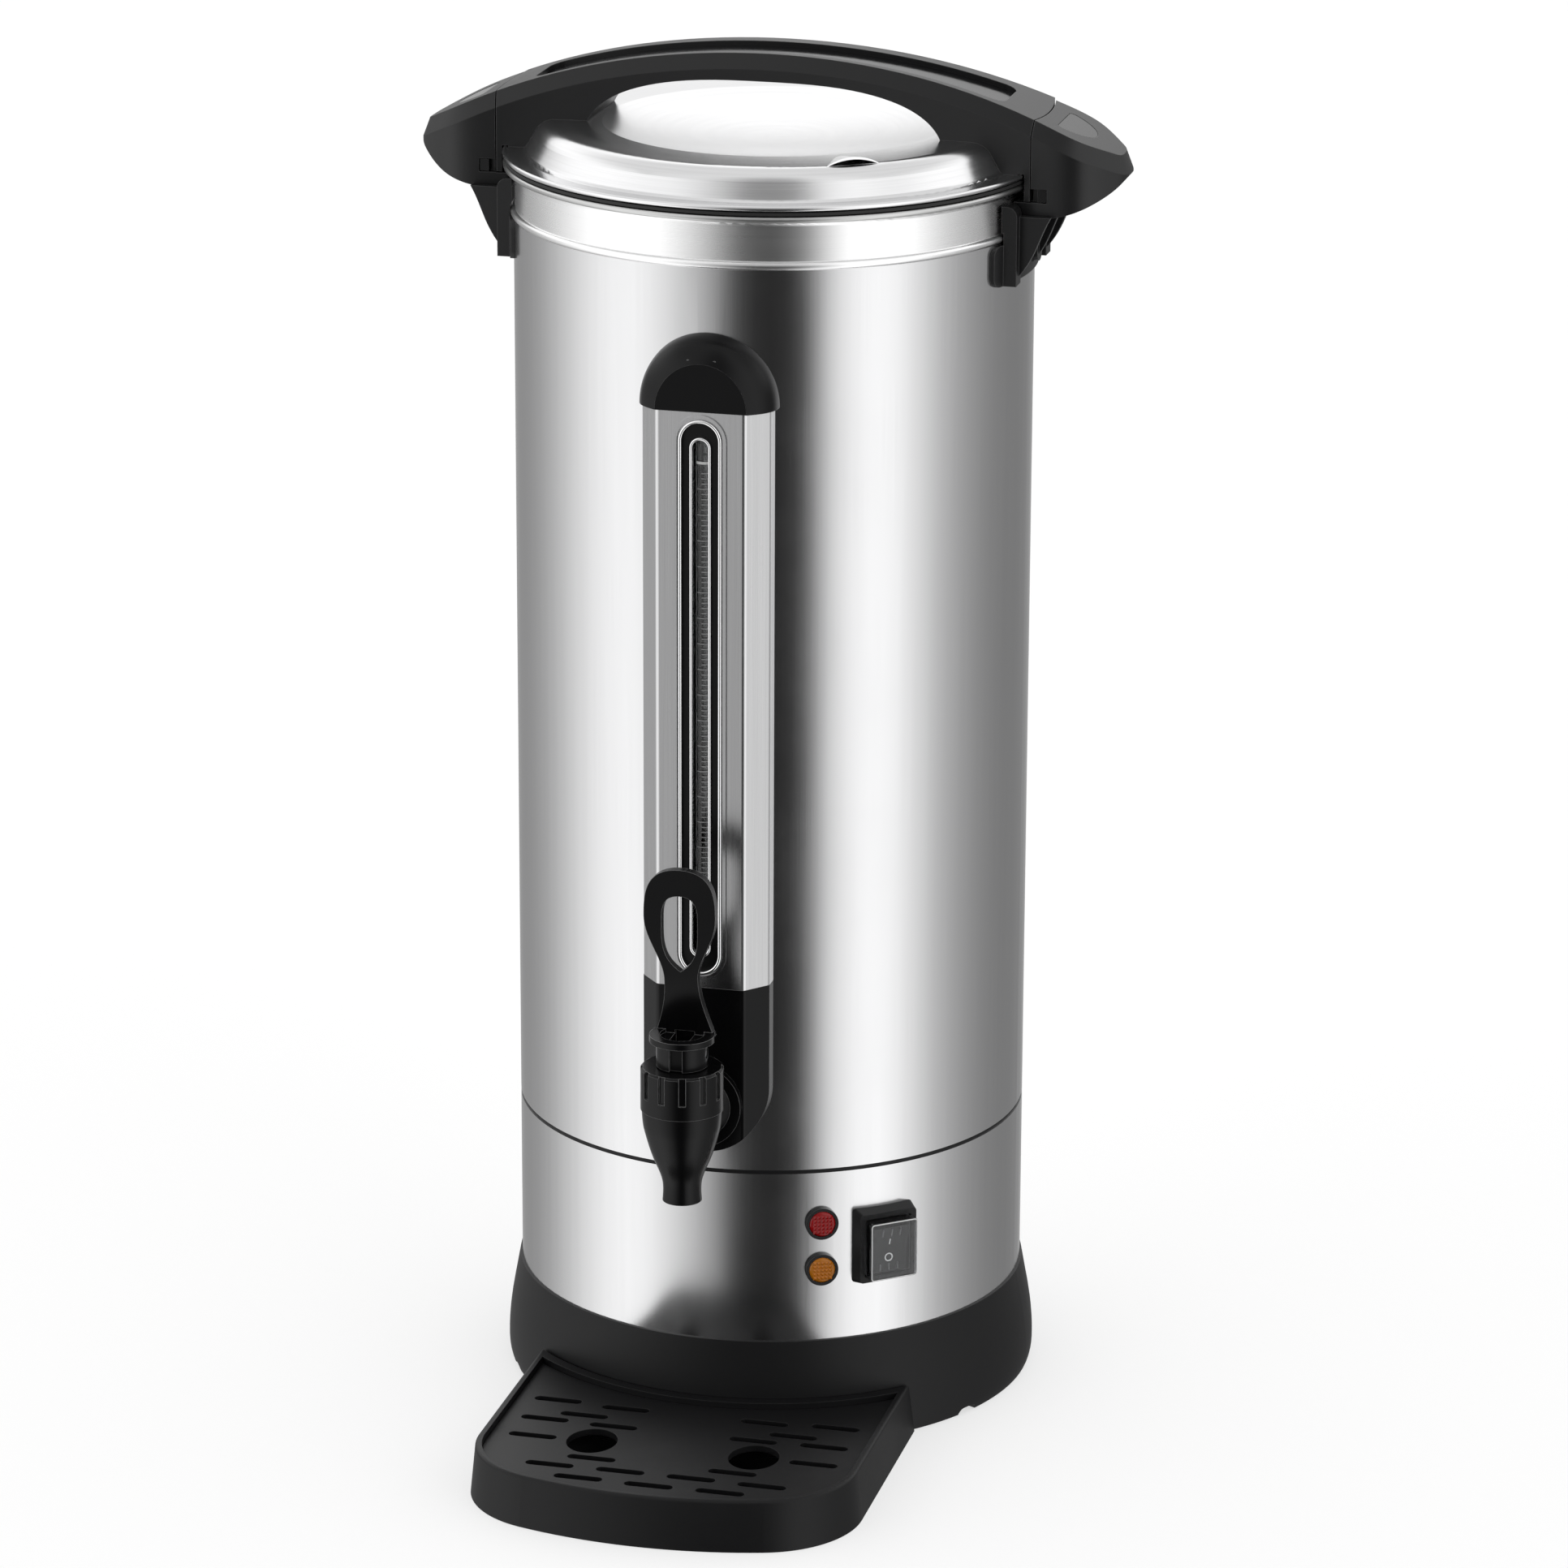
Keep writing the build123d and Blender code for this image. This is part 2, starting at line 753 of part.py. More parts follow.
with BuildPart() as gauge_fittings:
    stub_length = body_radius + tube_out - stub_inner
    for stub, socket, away in ((stub_low, socket_low, 1), (stub_high, socket_high, -1)):
        upright(fitting_radius, tube_y, stub - away * fitting_radius, socket + away * socket_depth)
        cylinder(stub_radius, wall_plane(0, stub, stub_inner), stub_length)
        far = socket + away * 2 * socket_depth
        upright(tube_radius + pivot_play, tube_y, socket, far, mode=Mode.SUBTRACT)
        upright(stub_bore, tube_y, stub, far, mode=Mode.SUBTRACT)
        cylinder(stub_bore, wall_plane(0, stub, stub_inner), stub_length, mode=Mode.SUBTRACT)

with BuildPart() as gauge_nuts:
    for stub in (stub_low, stub_high):
        with BuildSketch(Plane.XZ.offset(stub_inner + 0.5)):
            with Locations((0, stub)):
                RegularPolygon(nut_radius, 6)
                Circle(stub_radius + pivot_play, mode=Mode.SUBTRACT)
        extrude(amount=4)

with BuildPart() as gauge_seals:
    for stub in (stub_low, stub_high):
        with BuildSketch(Plane.XZ.offset(tank_radius - 10)):
            with Locations((0, stub)):
                Circle(stub_radius + 3.4)
                Circle(stub_radius + pivot_play, mode=Mode.SUBTRACT)
        extrude(amount=30)
    ring(tank_radius + touch, inside_radius - touch, stub_low - 20, stub_high + 20, mode=Mode.INTERSECT)

# ---------------------------------------------------------------- tap

tap_plane = Plane(origin=(0, -tap_reach, 0), x_dir=(1, 0, 0), z_dir=(0, -1, 0))
tap_axis = Axis((0, -tap_reach, 0), (0, 0, 1))


def turned_tap(*points, mode=Mode.ADD):
    """Straight-sided section of (radius, height) points, turned about the tap's axis."""
    with BuildSketch(tap_plane) as face:
        with BuildLine():
            Polyline(*points, close=True)
        make_face()
    revolve(face.sketch, axis=tap_axis, mode=mode)


chamber_floor = tap_height - shank_bore
nozzle_bottom = tap_height - nozzle_drop
spigot_radius = chamber_radius + 3
spigot_top = bonnet_bottom + 11.5
cavity_top = bonnet_top - 4.5

with BuildPart() as tap_body:
    with BuildSketch(tap_plane):
        with BuildLine():
            Spline(
                (nozzle_radius, nozzle_bottom),
                (nozzle_radius, tap_height - 21.5),
                (10.9, tap_height - 12.2),
                (14.2, tap_height - 1.5),
                (bonnet_radius - 0.4, bonnet_bottom),
                tangents=((-0.08, 1), (0.06, 1)),
            )
            Polyline(
                (bonnet_radius - 0.4, bonnet_bottom),
                (spigot_radius, bonnet_bottom),
                (spigot_radius, spigot_top),
                (0, spigot_top),
                (0, nozzle_bottom),
                (nozzle_radius, nozzle_bottom),
            )
        make_face()
    revolve(axis=tap_axis)
    with BuildSketch(Plane.XY.offset(tap_height)):
        with BuildLine():
            Polyline(
                (0, -tap_reach),
                (10.5, -tap_reach + 6),
                (10.5, gauge_front - 6),
                (12.5, gauge_front - flange_thickness),
                (flange_radius, gauge_front - flange_thickness),
                (flange_radius, gauge_front),
                (shank_radius, gauge_front),
                (shank_radius, -shank_inner),
                (0, -shank_inner),
                close=True,
            )
        make_face()
    revolve(axis=Axis((0, 0, tap_height), (0, 1, 0)))
    turned_tap(
        (spigot_radius, bonnet_bottom),
        (bonnet_radius + running, bonnet_bottom),
        (bonnet_radius + running, bonnet_top),
        (spigot_radius, bonnet_top),
        mode=Mode.SUBTRACT,
    )
    turned_tap(
        (0, nozzle_bottom),
        (nozzle_bore, nozzle_bottom),
        (nozzle_bore, seat_top),
        (nozzle_bore + 1.7, seat_top),
        (nozzle_bore + 1.7, chamber_floor),
        (chamber_radius, chamber_floor),
        (chamber_radius, spigot_top),
        (0, spigot_top),
        mode=Mode.SUBTRACT,
    )
    cylinder(
        shank_bore,
        wall_plane(0, tap_height, shank_inner),
        tap_reach - chamber_radius / 2 - shank_inner,
        mode=Mode.SUBTRACT,
    )

with BuildPart() as tap_bonnet:
    turned_tap(
        (spigot_radius + slip, bonnet_bottom),
        (bonnet_radius, bonnet_bottom),
        (bonnet_radius, bonnet_top),
        (stem_radius + pivot_play, bonnet_top),
        (stem_radius + pivot_play, cavity_top),
        (chamber_radius, cavity_top),
        (chamber_radius, spigot_top + slip),
        (spigot_radius + slip, spigot_top + slip),
    )
    chamfer(tap_bonnet.edges().filter_by(GeomType.CIRCLE).group_by(Axis.Z)[-1].sort_by(SortBy.RADIUS)[-1], 0.8)
    with BuildSketch(Plane((0, -tap_reach, bonnet_top - groove_length))):
        with PolarLocations(bonnet_radius, bonnet_groove_count, start_angle=15):
            Rectangle(2 * groove_depth, groove_width)
    extrude(amount=groove_length, mode=Mode.SUBTRACT)

with BuildPart() as valve_stem:
    turned_tap(
        (0, seat_top + 2),
        (stem_radius, seat_top + 2),
        (stem_radius, cup_top),
        (stem_collar, cup_top),
        (stem_collar, cup_top + 1.5),
        (stem_radius, cup_top + 1.5),
        (stem_radius, pin_height + stem_radius),
        (0, pin_height + stem_radius),
    )
    fillet(valve_stem.edges().group_by(Axis.Z)[-1], radius=1)
    cylinder(
        pin_radius + pivot_play,
        Plane(origin=(-10, -tap_reach, pin_height), z_dir=(1, 0, 0)),
        20,
        mode=Mode.SUBTRACT,
    )

with BuildPart() as seat_cup:
    turned_tap(
        (0, seat_top + running),
        (stem_collar + 0.5, seat_top + running),
        (stem_collar + 0.5, cup_top - 1),
        (stem_collar - 1, cup_top),
        (stem_radius, cup_top),
        (stem_radius, seat_top + 2),
        (0, seat_top + 2),
    )

with BuildPart() as tap_spring:
    wire = 0.6
    low = cup_top + 1.5 + wire
    coil = Helix(
        pitch=(cavity_top - wire - low) / spring_turns,
        height=cavity_top - wire - low,
        radius=stem_radius + 2.7,
        center=(0, -tap_reach, low),
    )
    with BuildSketch(Plane(origin=coil @ 0, z_dir=coil % 0)):
        RegularPolygon(wire, 6)
    sweep(path=coil)

with BuildPart() as tap_nut:
    with BuildSketch(Plane.XZ.offset(shank_inner + 2)):
        with Locations((0, tap_height)):
            RegularPolygon(shank_radius + 7, 6)
            Circle(shank_radius + pivot_play, mode=Mode.SUBTRACT)
    extrude(amount=6)

with BuildPart() as tap_washers:
    with BuildSketch(Plane.XZ.offset(shank_inner + 8)):
        with Locations((0, tap_height)):
            Circle(shank_radius + 5.5)
            Circle(shank_radius + pivot_play, mode=Mode.SUBTRACT)
    extrude(amount=30)
    low = tap_height - 2 * shank_radius
    high = tap_height + 2 * shank_radius
    ring(tank_inside - touch, tank_radius + touch, low, high, mode=Mode.SUBTRACT)
    cylinder(inside_radius - touch, Plane.XY.offset(low), high - low, mode=Mode.INTERSECT)

lever_base = -tap_reach + 6.0

with BuildPart() as tap_lever:
    with BuildSketch(Plane.XZ.offset(tap_reach - 12)):
        with BuildLine():
            Spline(
                (lever_foot_half, disc_bottom + 0.5),
                (waist_half, lever_top - waist_drop),
                (loop_half, lever_top - loop_drop),
                (0, lever_top),
                tangents=((-1, 3), (0, 1), (0, 1), (-1, 0)),
            )
            Line((0, disc_bottom + 0.5), (lever_foot_half, disc_bottom + 0.5))
            mirror(about=Plane.YZ)
        make_face()
        with BuildLine():
            Spline(
                (0, lever_top - loop_rim),
                (hole_half, lever_top - loop_rim - 0.36 * hole_length),
                (0, lever_top - loop_rim - hole_length),
                tangents=((1, 0), (0, -1), (-1, -0.7)),
            )
            mirror(about=Plane.YZ)
        make_face(mode=Mode.SUBTRACT)
    extrude(amount=30)
    with BuildSketch(Plane.YZ):
        with BuildLine():
            sides = []
            for y in (lever_base + lever_thickness / 2, lever_base - lever_thickness / 2):
                side = Spline(
                    (y, disc_bottom),
                    (y - 5.5, disc_top + 21),
                    (y - 8, lever_top + 1),
                    tangents=((-0.1, 1), (0, 1)),
                )
                sides.append(side)
            Line(sides[0] @ 0, sides[1] @ 0)
            Line(sides[0] @ 1, sides[1] @ 1)
        make_face()
    extrude(amount=20, both=True, mode=Mode.INTERSECT)
    turned_tap(
        (0, neck_bottom),
        (neck_radius, neck_bottom),
        (neck_radius, disc_bottom),
        (neck_radius + disc_out, disc_bottom),
        (neck_radius + disc_out, disc_top),
        (dimple_radius, disc_top),
        (dimple_radius, disc_top - dimple_depth),
        (0, disc_top - dimple_depth),
    )
    with BuildSketch(Plane((0, -tap_reach - 0.75, neck_bottom))):
        Rectangle(2 * (stem_radius + running), 12.6)
    extrude(amount=disc_top - neck_bottom, mode=Mode.SUBTRACT)
    with BuildSketch(Plane((0, -tap_reach - neck_radius, neck_bottom))):
        Rectangle(5, 3.6)
    extrude(amount=disc_bottom - neck_bottom, mode=Mode.SUBTRACT)
    cylinder(
        pin_radius + pivot_play,
        Plane(origin=(-20, -tap_reach, pin_height), z_dir=(1, 0, 0)),
        40,
        mode=Mode.SUBTRACT,
    )

with BuildPart() as lever_pin:
    half_length = neck_radius - 0.6
    cylinder(
        pin_radius,
        Plane(origin=(-half_length, -tap_reach, pin_height), z_dir=(1, 0, 0)),
        2 * half_length,
    )

# ---------------------------------------------------------------- lamps and switch

with BuildPart() as lamp_bezels:
    for height in lamp_heights:
        plane = wall_plane(lamp_angle, height)
        cylinder(lamp_bezel_radius, plane.offset(-2), 2 + lamp_out)
        cylinder(lamp_barrel_radius + slip, plane.offset(-2), 4, mode=Mode.SUBTRACT)
        cylinder(lamp_lens_radius + slip, plane.offset(0.6), 4, mode=Mode.SUBTRACT)
    clear_of_body()


def lamp(height):
    """Coloured lens with a low dome, and its barrel behind the wall."""
    plane = wall_plane(lamp_angle, height)
    with BuildPart() as piece:
        cylinder(lamp_barrel_radius, plane.offset(-16), 16.6)
        cylinder(lamp_lens_radius, plane.offset(0.6), lamp_out)
        rims = piece.edges().filter_by(GeomType.CIRCLE).sort_by(Axis(plane.origin, plane.z_dir))
        fillet(rims[-1], radius=1.2)
    return piece


lamp_heating = lamp(lamp_heights[0])
lamp_warm = lamp(lamp_heights[1])

switch_plane = wall_plane(switch_angle, switch_height)



def rocker_end(along, tip=0):
    """Side plane of the rocker at this distance along its pivot: x up, y outward."""
    up = Vector(0, 0, 1) * cos(radians(tip)) + switch_plane.z_dir * sin(radians(tip))
    return Plane(
        origin=switch_plane.origin + switch_plane.x_dir * along + switch_plane.z_dir * rocker_pivot,
        x_dir=up,
        z_dir=switch_plane.x_dir,
    )


with BuildPart() as switch_bezel:
    with BuildSketch(switch_plane.offset(-4)) as base:
        RectangleRounded(switch_width + 0.9, switch_tall + 1.4, 1.5)
    with BuildSketch(switch_plane.offset(switch_out)) as face:
        RectangleRounded(switch_width - 1.5, switch_tall - 2.5, 1.5)
    loft([base.sketch, face.sketch])
    clear_of_body()
    with BuildSketch(switch_plane.offset(-switch_depth)) as body:
        Rectangle(switch_width - 4 - 2 * slip, switch_tall - 4 - 2 * slip)
    extrude(body.sketch, amount=switch_depth + 2)
    with BuildSketch(switch_plane.offset(switch_out)) as well:
        Rectangle(rocker_width + 1.2, rocker_tall + 2.4)
    extrude(well.sketch, amount=-(switch_depth + switch_out - 3), mode=Mode.SUBTRACT)
    with BuildSketch(switch_plane.offset(switch_out)) as rebate:
        RectangleRounded(cover_width + 2 * slip, cover_tall + 2 * slip, 1.2)
    extrude(rebate.sketch, amount=-cover_lip, mode=Mode.SUBTRACT)
    cylinder(
        trunnion_radius + pivot_play,
        rocker_end(-rocker_width / 2 - trunnion_length - slip),
        rocker_width + 2 * trunnion_length + 2 * slip,
        mode=Mode.SUBTRACT,
    )

with BuildPart() as switch_rocker:
    # Neutral side view about the pivot, then tipped so that the lower half lies flat: off.
    half_throw = rocker_throw / 2
    reach = rocker_tall / 2
    rise = reach * tan(radians(half_throw))
    with BuildSketch(rocker_end(-rocker_width / 2, half_throw)) as profile:
        with BuildLine():
            Polyline(
                (-reach, rocker_face + rise),
                (0, rocker_face),
                (reach, rocker_face + rise),
                (reach - 1.5, -1),
                (3, -3),
                (-3, -3),
                (-reach + 1.5, -1),
                close=True,
            )
        make_face()
    extrude(profile.sketch, amount=rocker_width)
    cylinder(
        trunnion_radius,
        rocker_end(-rocker_width / 2 - trunnion_length),
        rocker_width + 2 * trunnion_length,
    )

with BuildPart() as switch_cover:
    with BuildSketch(switch_plane.offset(switch_out - cover_lip)) as outside:
        RectangleRounded(cover_width, cover_tall, 1.2)
    extrude(outside.sketch, amount=cover_lip + cover_out)
    fillet(switch_cover.faces().sort_by(Axis(switch_plane.origin, switch_plane.z_dir))[-1].edges(), 0.6)
    with BuildSketch(switch_plane.offset(switch_out - cover_lip)) as inside:
        RectangleRounded(cover_width - 2 * cover_wall, cover_tall - 2 * cover_wall, 0.5)
    extrude(inside.sketch, amount=cover_lip + cover_out - cover_wall, mode=Mode.SUBTRACT)

# ---------------------------------------------------------------- back of the base

inlet_plane = wall_plane(180, inlet_height)
reset_plane = wall_plane(reset_angle, inlet_height)

with BuildPart() as power_inlet:
    with BuildSketch(inlet_plane.offset(-4)) as flange:
        RectangleRounded(2 * inlet_screws_half + 10, inlet_tall + 4, 5)
        with Locations((-inlet_screws_half, 0), (inlet_screws_half, 0)):
            Circle(inlet_screw + slip, mode=Mode.SUBTRACT)
    extrude(flange.sketch, amount=4 + inlet_out)
    clear_of_body()
    with BuildSketch(inlet_plane.offset(-inlet_depth)) as body:
        Rectangle(inlet_width, inlet_tall)
    extrude(body.sketch, amount=inlet_depth + 1)
    with BuildSketch(inlet_plane.offset(inlet_out)) as socket:
        Rectangle(socket_width, socket_tall)
        chamfer(socket.vertices().group_by(Axis.Z)[-1], 4)
    extrude(socket.sketch, amount=-socket_reach, mode=Mode.SUBTRACT)
    with BuildSketch(inlet_plane.offset(-inlet_depth)) as slots:
        with Locations(*pin_spots):
            Rectangle(blade_width + 2 * slip, blade_tall + 2 * slip)
    extrude(slots.sketch, amount=inlet_depth, mode=Mode.SUBTRACT)

with BuildPart() as inlet_pins:
    with BuildSketch(inlet_plane.offset(-inlet_depth - blade_back)) as blades:
        with Locations(*pin_spots):
            Rectangle(blade_width, blade_tall)
    extrude(blades.sketch, amount=inlet_depth + blade_back + inlet_out - blade_short)

with BuildPart() as inlet_screws:
    for side in (-1, 1):
        plane = Plane(inlet_plane.location * Location((side * inlet_screws_half, 0, inlet_out)))
        cylinder(inlet_screw * 2, plane, 1.4)
        cylinder(inlet_screw, plane, -10)

with BuildPart() as thermal_cutout:
    cylinder(8, reset_plane.offset(-22), 20)
    cylinder(reset_radius + 1.5, reset_plane.offset(-2), 3.5)
    cylinder(reset_radius + running, reset_plane.offset(-2 - 2 * reset_travel), 10, mode=Mode.SUBTRACT)

with BuildPart() as reset_nut:
    with BuildSketch(reset_plane.offset(-2)) as nut:
        RegularPolygon(reset_radius + 4.5, 6)
        Circle(reset_radius + 1.5 + pivot_play, mode=Mode.SUBTRACT)
    extrude(nut.sketch, amount=4)
    clear_of_body()

with BuildPart() as reset_button:
    cylinder(reset_radius, reset_plane.offset(-2 - reset_travel + running), 5.5 + reset_travel)
    fillet(reset_button.faces().sort_by(Axis((0, 0, 0), reset_plane.z_dir))[-1].edges(), 0.6)

# ---------------------------------------------------------------- under the tank

with BuildPart() as heating_element:
    with BuildSketch(radial_plane(100)):
        with Locations((element_circle, tank_bottom - element_radius - touch)):
            Circle(element_radius)
    revolve(axis=Axis.Z, revolution_arc=340)
    for angle in (100, 80):
        turn = radians(angle)
        spot = Plane((element_circle * cos(turn), element_circle * sin(turn), tank_bottom - 20))
        cylinder(element_radius - 1, spot, 20 - element_radius)

with BuildPart() as thermostat:
    well_under = tank_bottom - well_depth - touch
    cylinder(12.5, Plane.XY.offset(well_under - 3), 3)
    cylinder(9, Plane.XY.offset(well_under - 12), 9)
    with BuildSketch(Plane.XY.offset(well_under - 20)):
        with Locations((-5, 0), (5, 0)):
            Rectangle(1, 6)
    extrude(amount=8)

with BuildPart() as terminal_block:
    with BuildSketch(Plane.XY.offset(plate_top)):
        with Locations((0, 62)):
            Rectangle(34, 16)
    extrude(amount=12)
    with BuildSketch(Plane.XY.offset(plate_top + 12)):
        with Locations((0, 62)):
            with GridLocations(10, 0.1, 3, 1):
                Circle(3)
    extrude(amount=-8, mode=Mode.SUBTRACT)

# ---------------------------------------------------------------- percolator

pump_base = tank_bottom - well_depth + wall + running

with BuildPart() as pump_tube:
    turned(
        (pump_base_radius, pump_base),
        (pump_base_radius, pump_base + 3),
        (hub_radius, pump_base + 13),
        (pump_tube_radius, pump_base + 16),
        (pump_tube_radius, basket_low - 2),
        (hub_radius + 1.4, basket_low - 2),
        (hub_radius + 1.4, basket_low),
        (pump_tube_radius, basket_low),
        (pump_tube_radius, pump_top),
        (pump_tube_bore, pump_top),
        (pump_tube_bore, pump_base + 13.5),
        (hub_radius - 1.2, pump_base + 11.8),
        (pump_base_radius - 1, pump_base + 1.9),
        (pump_base_radius - 1, pump_base),
    )
    with BuildSketch(Plane.XY.offset(pump_base)):
        with PolarLocations(pump_base_radius, 4):
            Rectangle(6, 7)
    extrude(amount=1.8, mode=Mode.SUBTRACT)

with BuildPart() as coffee_basket:
    turned(
        (pump_tube_radius + running, basket_low),
        (basket_radius, basket_low),
        (basket_radius, basket_high - wall),
        (basket_radius + 2.5, basket_high - wall),
        (basket_radius + 2.5, basket_high),
        (basket_radius - wall, basket_high),
        (basket_radius - wall, basket_low + wall),
        (hub_radius, basket_low + wall),
        (hub_radius, basket_low + 14),
        (pump_tube_radius + running, basket_low + 14),
    )
    with BuildSketch(Plane.XY.offset(basket_low)):
        for row, circle in enumerate(hole_circles, 1):
            with PolarLocations(circle, row * hole_count):
                Circle(hole_radius)
    extrude(amount=wall, mode=Mode.SUBTRACT)

with BuildPart() as basket_lid:
    dip = basket_high - 4
    turned(
        (pump_tube_radius + running, dip + 6),
        (hub_radius, dip + 6),
        (hub_radius, dip + wall),
        (basket_radius - 4, dip + wall),
        (basket_radius - 4, basket_high + wall),
        (basket_radius + 2, basket_high + wall),
        (basket_radius + 2, basket_high),
        (basket_radius - 3.2, basket_high),
        (basket_radius - 3.2, dip),
        (pump_tube_radius + running, dip),
    )
    with BuildSketch(Plane.XY.offset(dip)):
        for row, circle in enumerate(hole_circles, 1):
            with PolarLocations(circle, row * hole_count):
                Circle(hole_radius)
    extrude(amount=wall, mode=Mode.SUBTRACT)

# ---------------------------------------------------------------- lid

lid_corners = (
    (shoulder_radius, lid_top_height),
    (lid_wall_radius, lid_flange_height),
    (lid_edge_radius - lid_roll, lid_flange_height),
)

with BuildPart() as lid_shell:
    with BuildSketch(Plane.XZ):
        with BuildLine():
            ThreePointArc(
                (0, dish_low),
                (dish_radius / 2, dish_low + dish_sunk / 4),
                (dish_radius, lid_top_height),
            )
            FilletPolyline(
                (dish_radius, lid_top_height),
                *lid_corners,
                radius=lid_corner_radii,
            )
            offset(amount=lid_sheet, side=Side.RIGHT)
        make_face()
        with Locations((lid_edge_radius - lid_roll, lid_flange_height - lid_roll / 2)):
            Circle(lid_roll)
    revolve(axis=Axis.Z)
    with BuildSketch(Plane.XY.offset(lid_top_height - 2)):
        with GridLocations(2 * lid_screw_x, 2 * lid_screw_y, 2, 2):
            Circle(screw_radius + slip)
    extrude(amount=4, mode=Mode.SUBTRACT)
    # Steam vent: a low hood over a slot, open towards the lid's edge.
    for inset, start, end, mode in (
        (0, vent_inner, vent_outer, Mode.ADD),
        (vent_sheet, vent_inner + 2, vent_outer + 1, Mode.SUBTRACT),
    ):
        hood = []
        for reach, half, tall in ((start, vent_tail, vent_tail_rise), (end, vent_half, vent_rise)):
            plane = wall_plane(vent_angle, lid_top_height - vent_sunk + inset / 2, reach)
            with BuildSketch(plane) as arch:
                with BuildLine():
                    ThreePointArc((-half + inset, 0), (0, tall - 1.6 * inset), (half - inset, 0))
                    Line((-half + inset, 0), (half - inset, 0))
                make_face()
            hood.append(arch.sketch)
        loft(hood, mode=mode)
    with BuildSketch(Plane.XY.offset(lid_top_height - 2)) as slot:
        with Locations(Rot(0, 0, vent_angle) * Pos(0, -vent_outer + 3)):
            SlotOverall(vent_half, 2)
    extrude(slot.sketch, amount=2.6, mode=Mode.SUBTRACT)

with BuildPart() as lid_seal:
    low = rim_top + running
    under = lid_flange_height - lid_sheet
    turned(
        (tank_inside - 0.3, seal_lip_bottom),
        (tank_inside - 0.3, low),
        (rim_radius + 0.6, low),
        (rim_radius + 0.6, low + 1.2),
        (lid_edge_radius - 2 * lid_roll - 0.3, low + 1.2),
        (lid_edge_radius - 2 * lid_roll - 0.3, under),
        (lid_wall_radius + 0.6, under),
        (lid_wall_radius - 2.8, low + 1.2),
        (tank_inside - 2.2, low + 1.2),
        (tank_inside - 2.2, seal_lip_bottom),
    )

# ---------------------------------------------------------------- handles


def arch_region(upper, lower, reach):
    """Side view of the layer between two depths below the handles' upper face."""
    stations = [reach * step / arch_steps for step in range(-arch_steps, arch_steps + 1)]
    with BuildSketch(Plane.XZ) as face:
        with BuildLine():
            top = Spline(*[(x, arch_top(x, upper)) for x in stations])
            if lower is None:
                Polyline(top @ 0, (-reach, bracket_bottom), (reach, bracket_bottom), top @ 1)
            else:
                bottom = Spline(*[(x, arch_top(x, lower)) for x in stations])
                Line(top @ 0, bottom @ 0)
                Line(top @ 1, bottom @ 1)
        make_face()
    return face.sketch


def plan_of_arch(reach, half_mid, half_end, height, corner=0):
    """Waisted plan of the arch or of its recess, narrowest over the lid's middle."""
    with BuildSketch(Plane.XY.offset(height)) as face:
        with BuildLine():
            ThreePointArc((-reach, half_end), (0, half_mid), (reach, half_end))
            ThreePointArc((-reach, -half_end), (0, -half_mid), (reach, -half_end))
            Line((-reach, half_end), (-reach, -half_end))
            Line((reach, half_end), (reach, -half_end))
        make_face()
        if corner:
            fillet(face.vertices(), radius=corner)
    return face.sketch


arch_reach = split_radius + 3
arch_ledge = bracket_bottom
inlay_reach = recess_reach - slip

with BuildPart() as recess_tool:
    extrude(arch_region(-5, recess_depth, recess_reach + 5), amount=30, both=True)
    extrude(
        plan_of_arch(recess_reach, recess_half_mid, recess_half_end, arch_ledge, recess_corner),
        amount=tools_top - arch_ledge,
        mode=Mode.INTERSECT,
    )

with BuildPart() as lid_handle:
    extrude(plan_of_arch(arch_reach, arch_half_mid, arch_half_end, lip_bottom), amount=tools_top - lip_bottom)
    extrude(arch_region(0, None, arch_reach + 5), amount=40, both=True, mode=Mode.INTERSECT)
    top = lid_handle.faces().sort_by(Axis.Z)[-1]
    sides = top.edges().filter_by(lambda edge: abs(edge.center().X) < 1)
    chamfer(sides, length=edge_in, length2=edge_down, reference=top)
    with BuildSketch(Plane.XZ) as window:
        with BuildLine():
            crown = (0, arch_height - arch_thickness)
            Spline(
                crown,
                (arch_leg - 38, crown[1] - 1.2),
                (arch_leg - 22, crown[1] - 4.2),
                (arch_leg - 9, crown[1] - 9.7),
                (arch_leg, lid_top_height - 3),
                tangents=((1, 0), (0.25, -1)),
            )
            Polyline((arch_leg, lid_top_height - 3), (0, lid_top_height - 3))
            mirror(about=Plane.YZ)
        make_face()
    extrude(window.sketch, amount=40, both=True, mode=Mode.SUBTRACT)
    cylinder(split_radius, Plane.XY.offset(lip_bottom), tools_top - lip_bottom, mode=Mode.INTERSECT)
    # Seat on the lid: annulus, shoulder and flange, with a lip outside the rolled edges.
    with BuildSketch(Plane.XZ) as seat:
        with BuildLine():
            roll_start = (lid_edge_radius - 2 * lid_roll, lid_flange_height)
            FilletPolyline((0, lid_top_height), *lid_corners[:2], roll_start, radius=lid_corner_radii)
            Polyline(
                roll_start,
                (lid_edge_radius - 2 * lid_roll, lid_flange_height + lid_roll / 2 + touch),
                (lid_edge_radius + 0.4, lid_flange_height + lid_roll / 2 + touch),
                (lid_edge_radius + 0.4, lip_bottom - 1),
                (0, lip_bottom - 1),
                (0, lid_top_height),
            )
        make_face()
    revolve(seat.sketch, axis=Axis.Z, mode=Mode.SUBTRACT)
    add(recess_tool.part, mode=Mode.SUBTRACT)
    with BuildSketch(Plane.XY.offset(lid_top_height)):
        with GridLocations(2 * lid_screw_x, 2 * lid_screw_y, 2, 2):
            Circle(screw_radius + pivot_play)
    extrude(amount=9, mode=Mode.SUBTRACT)

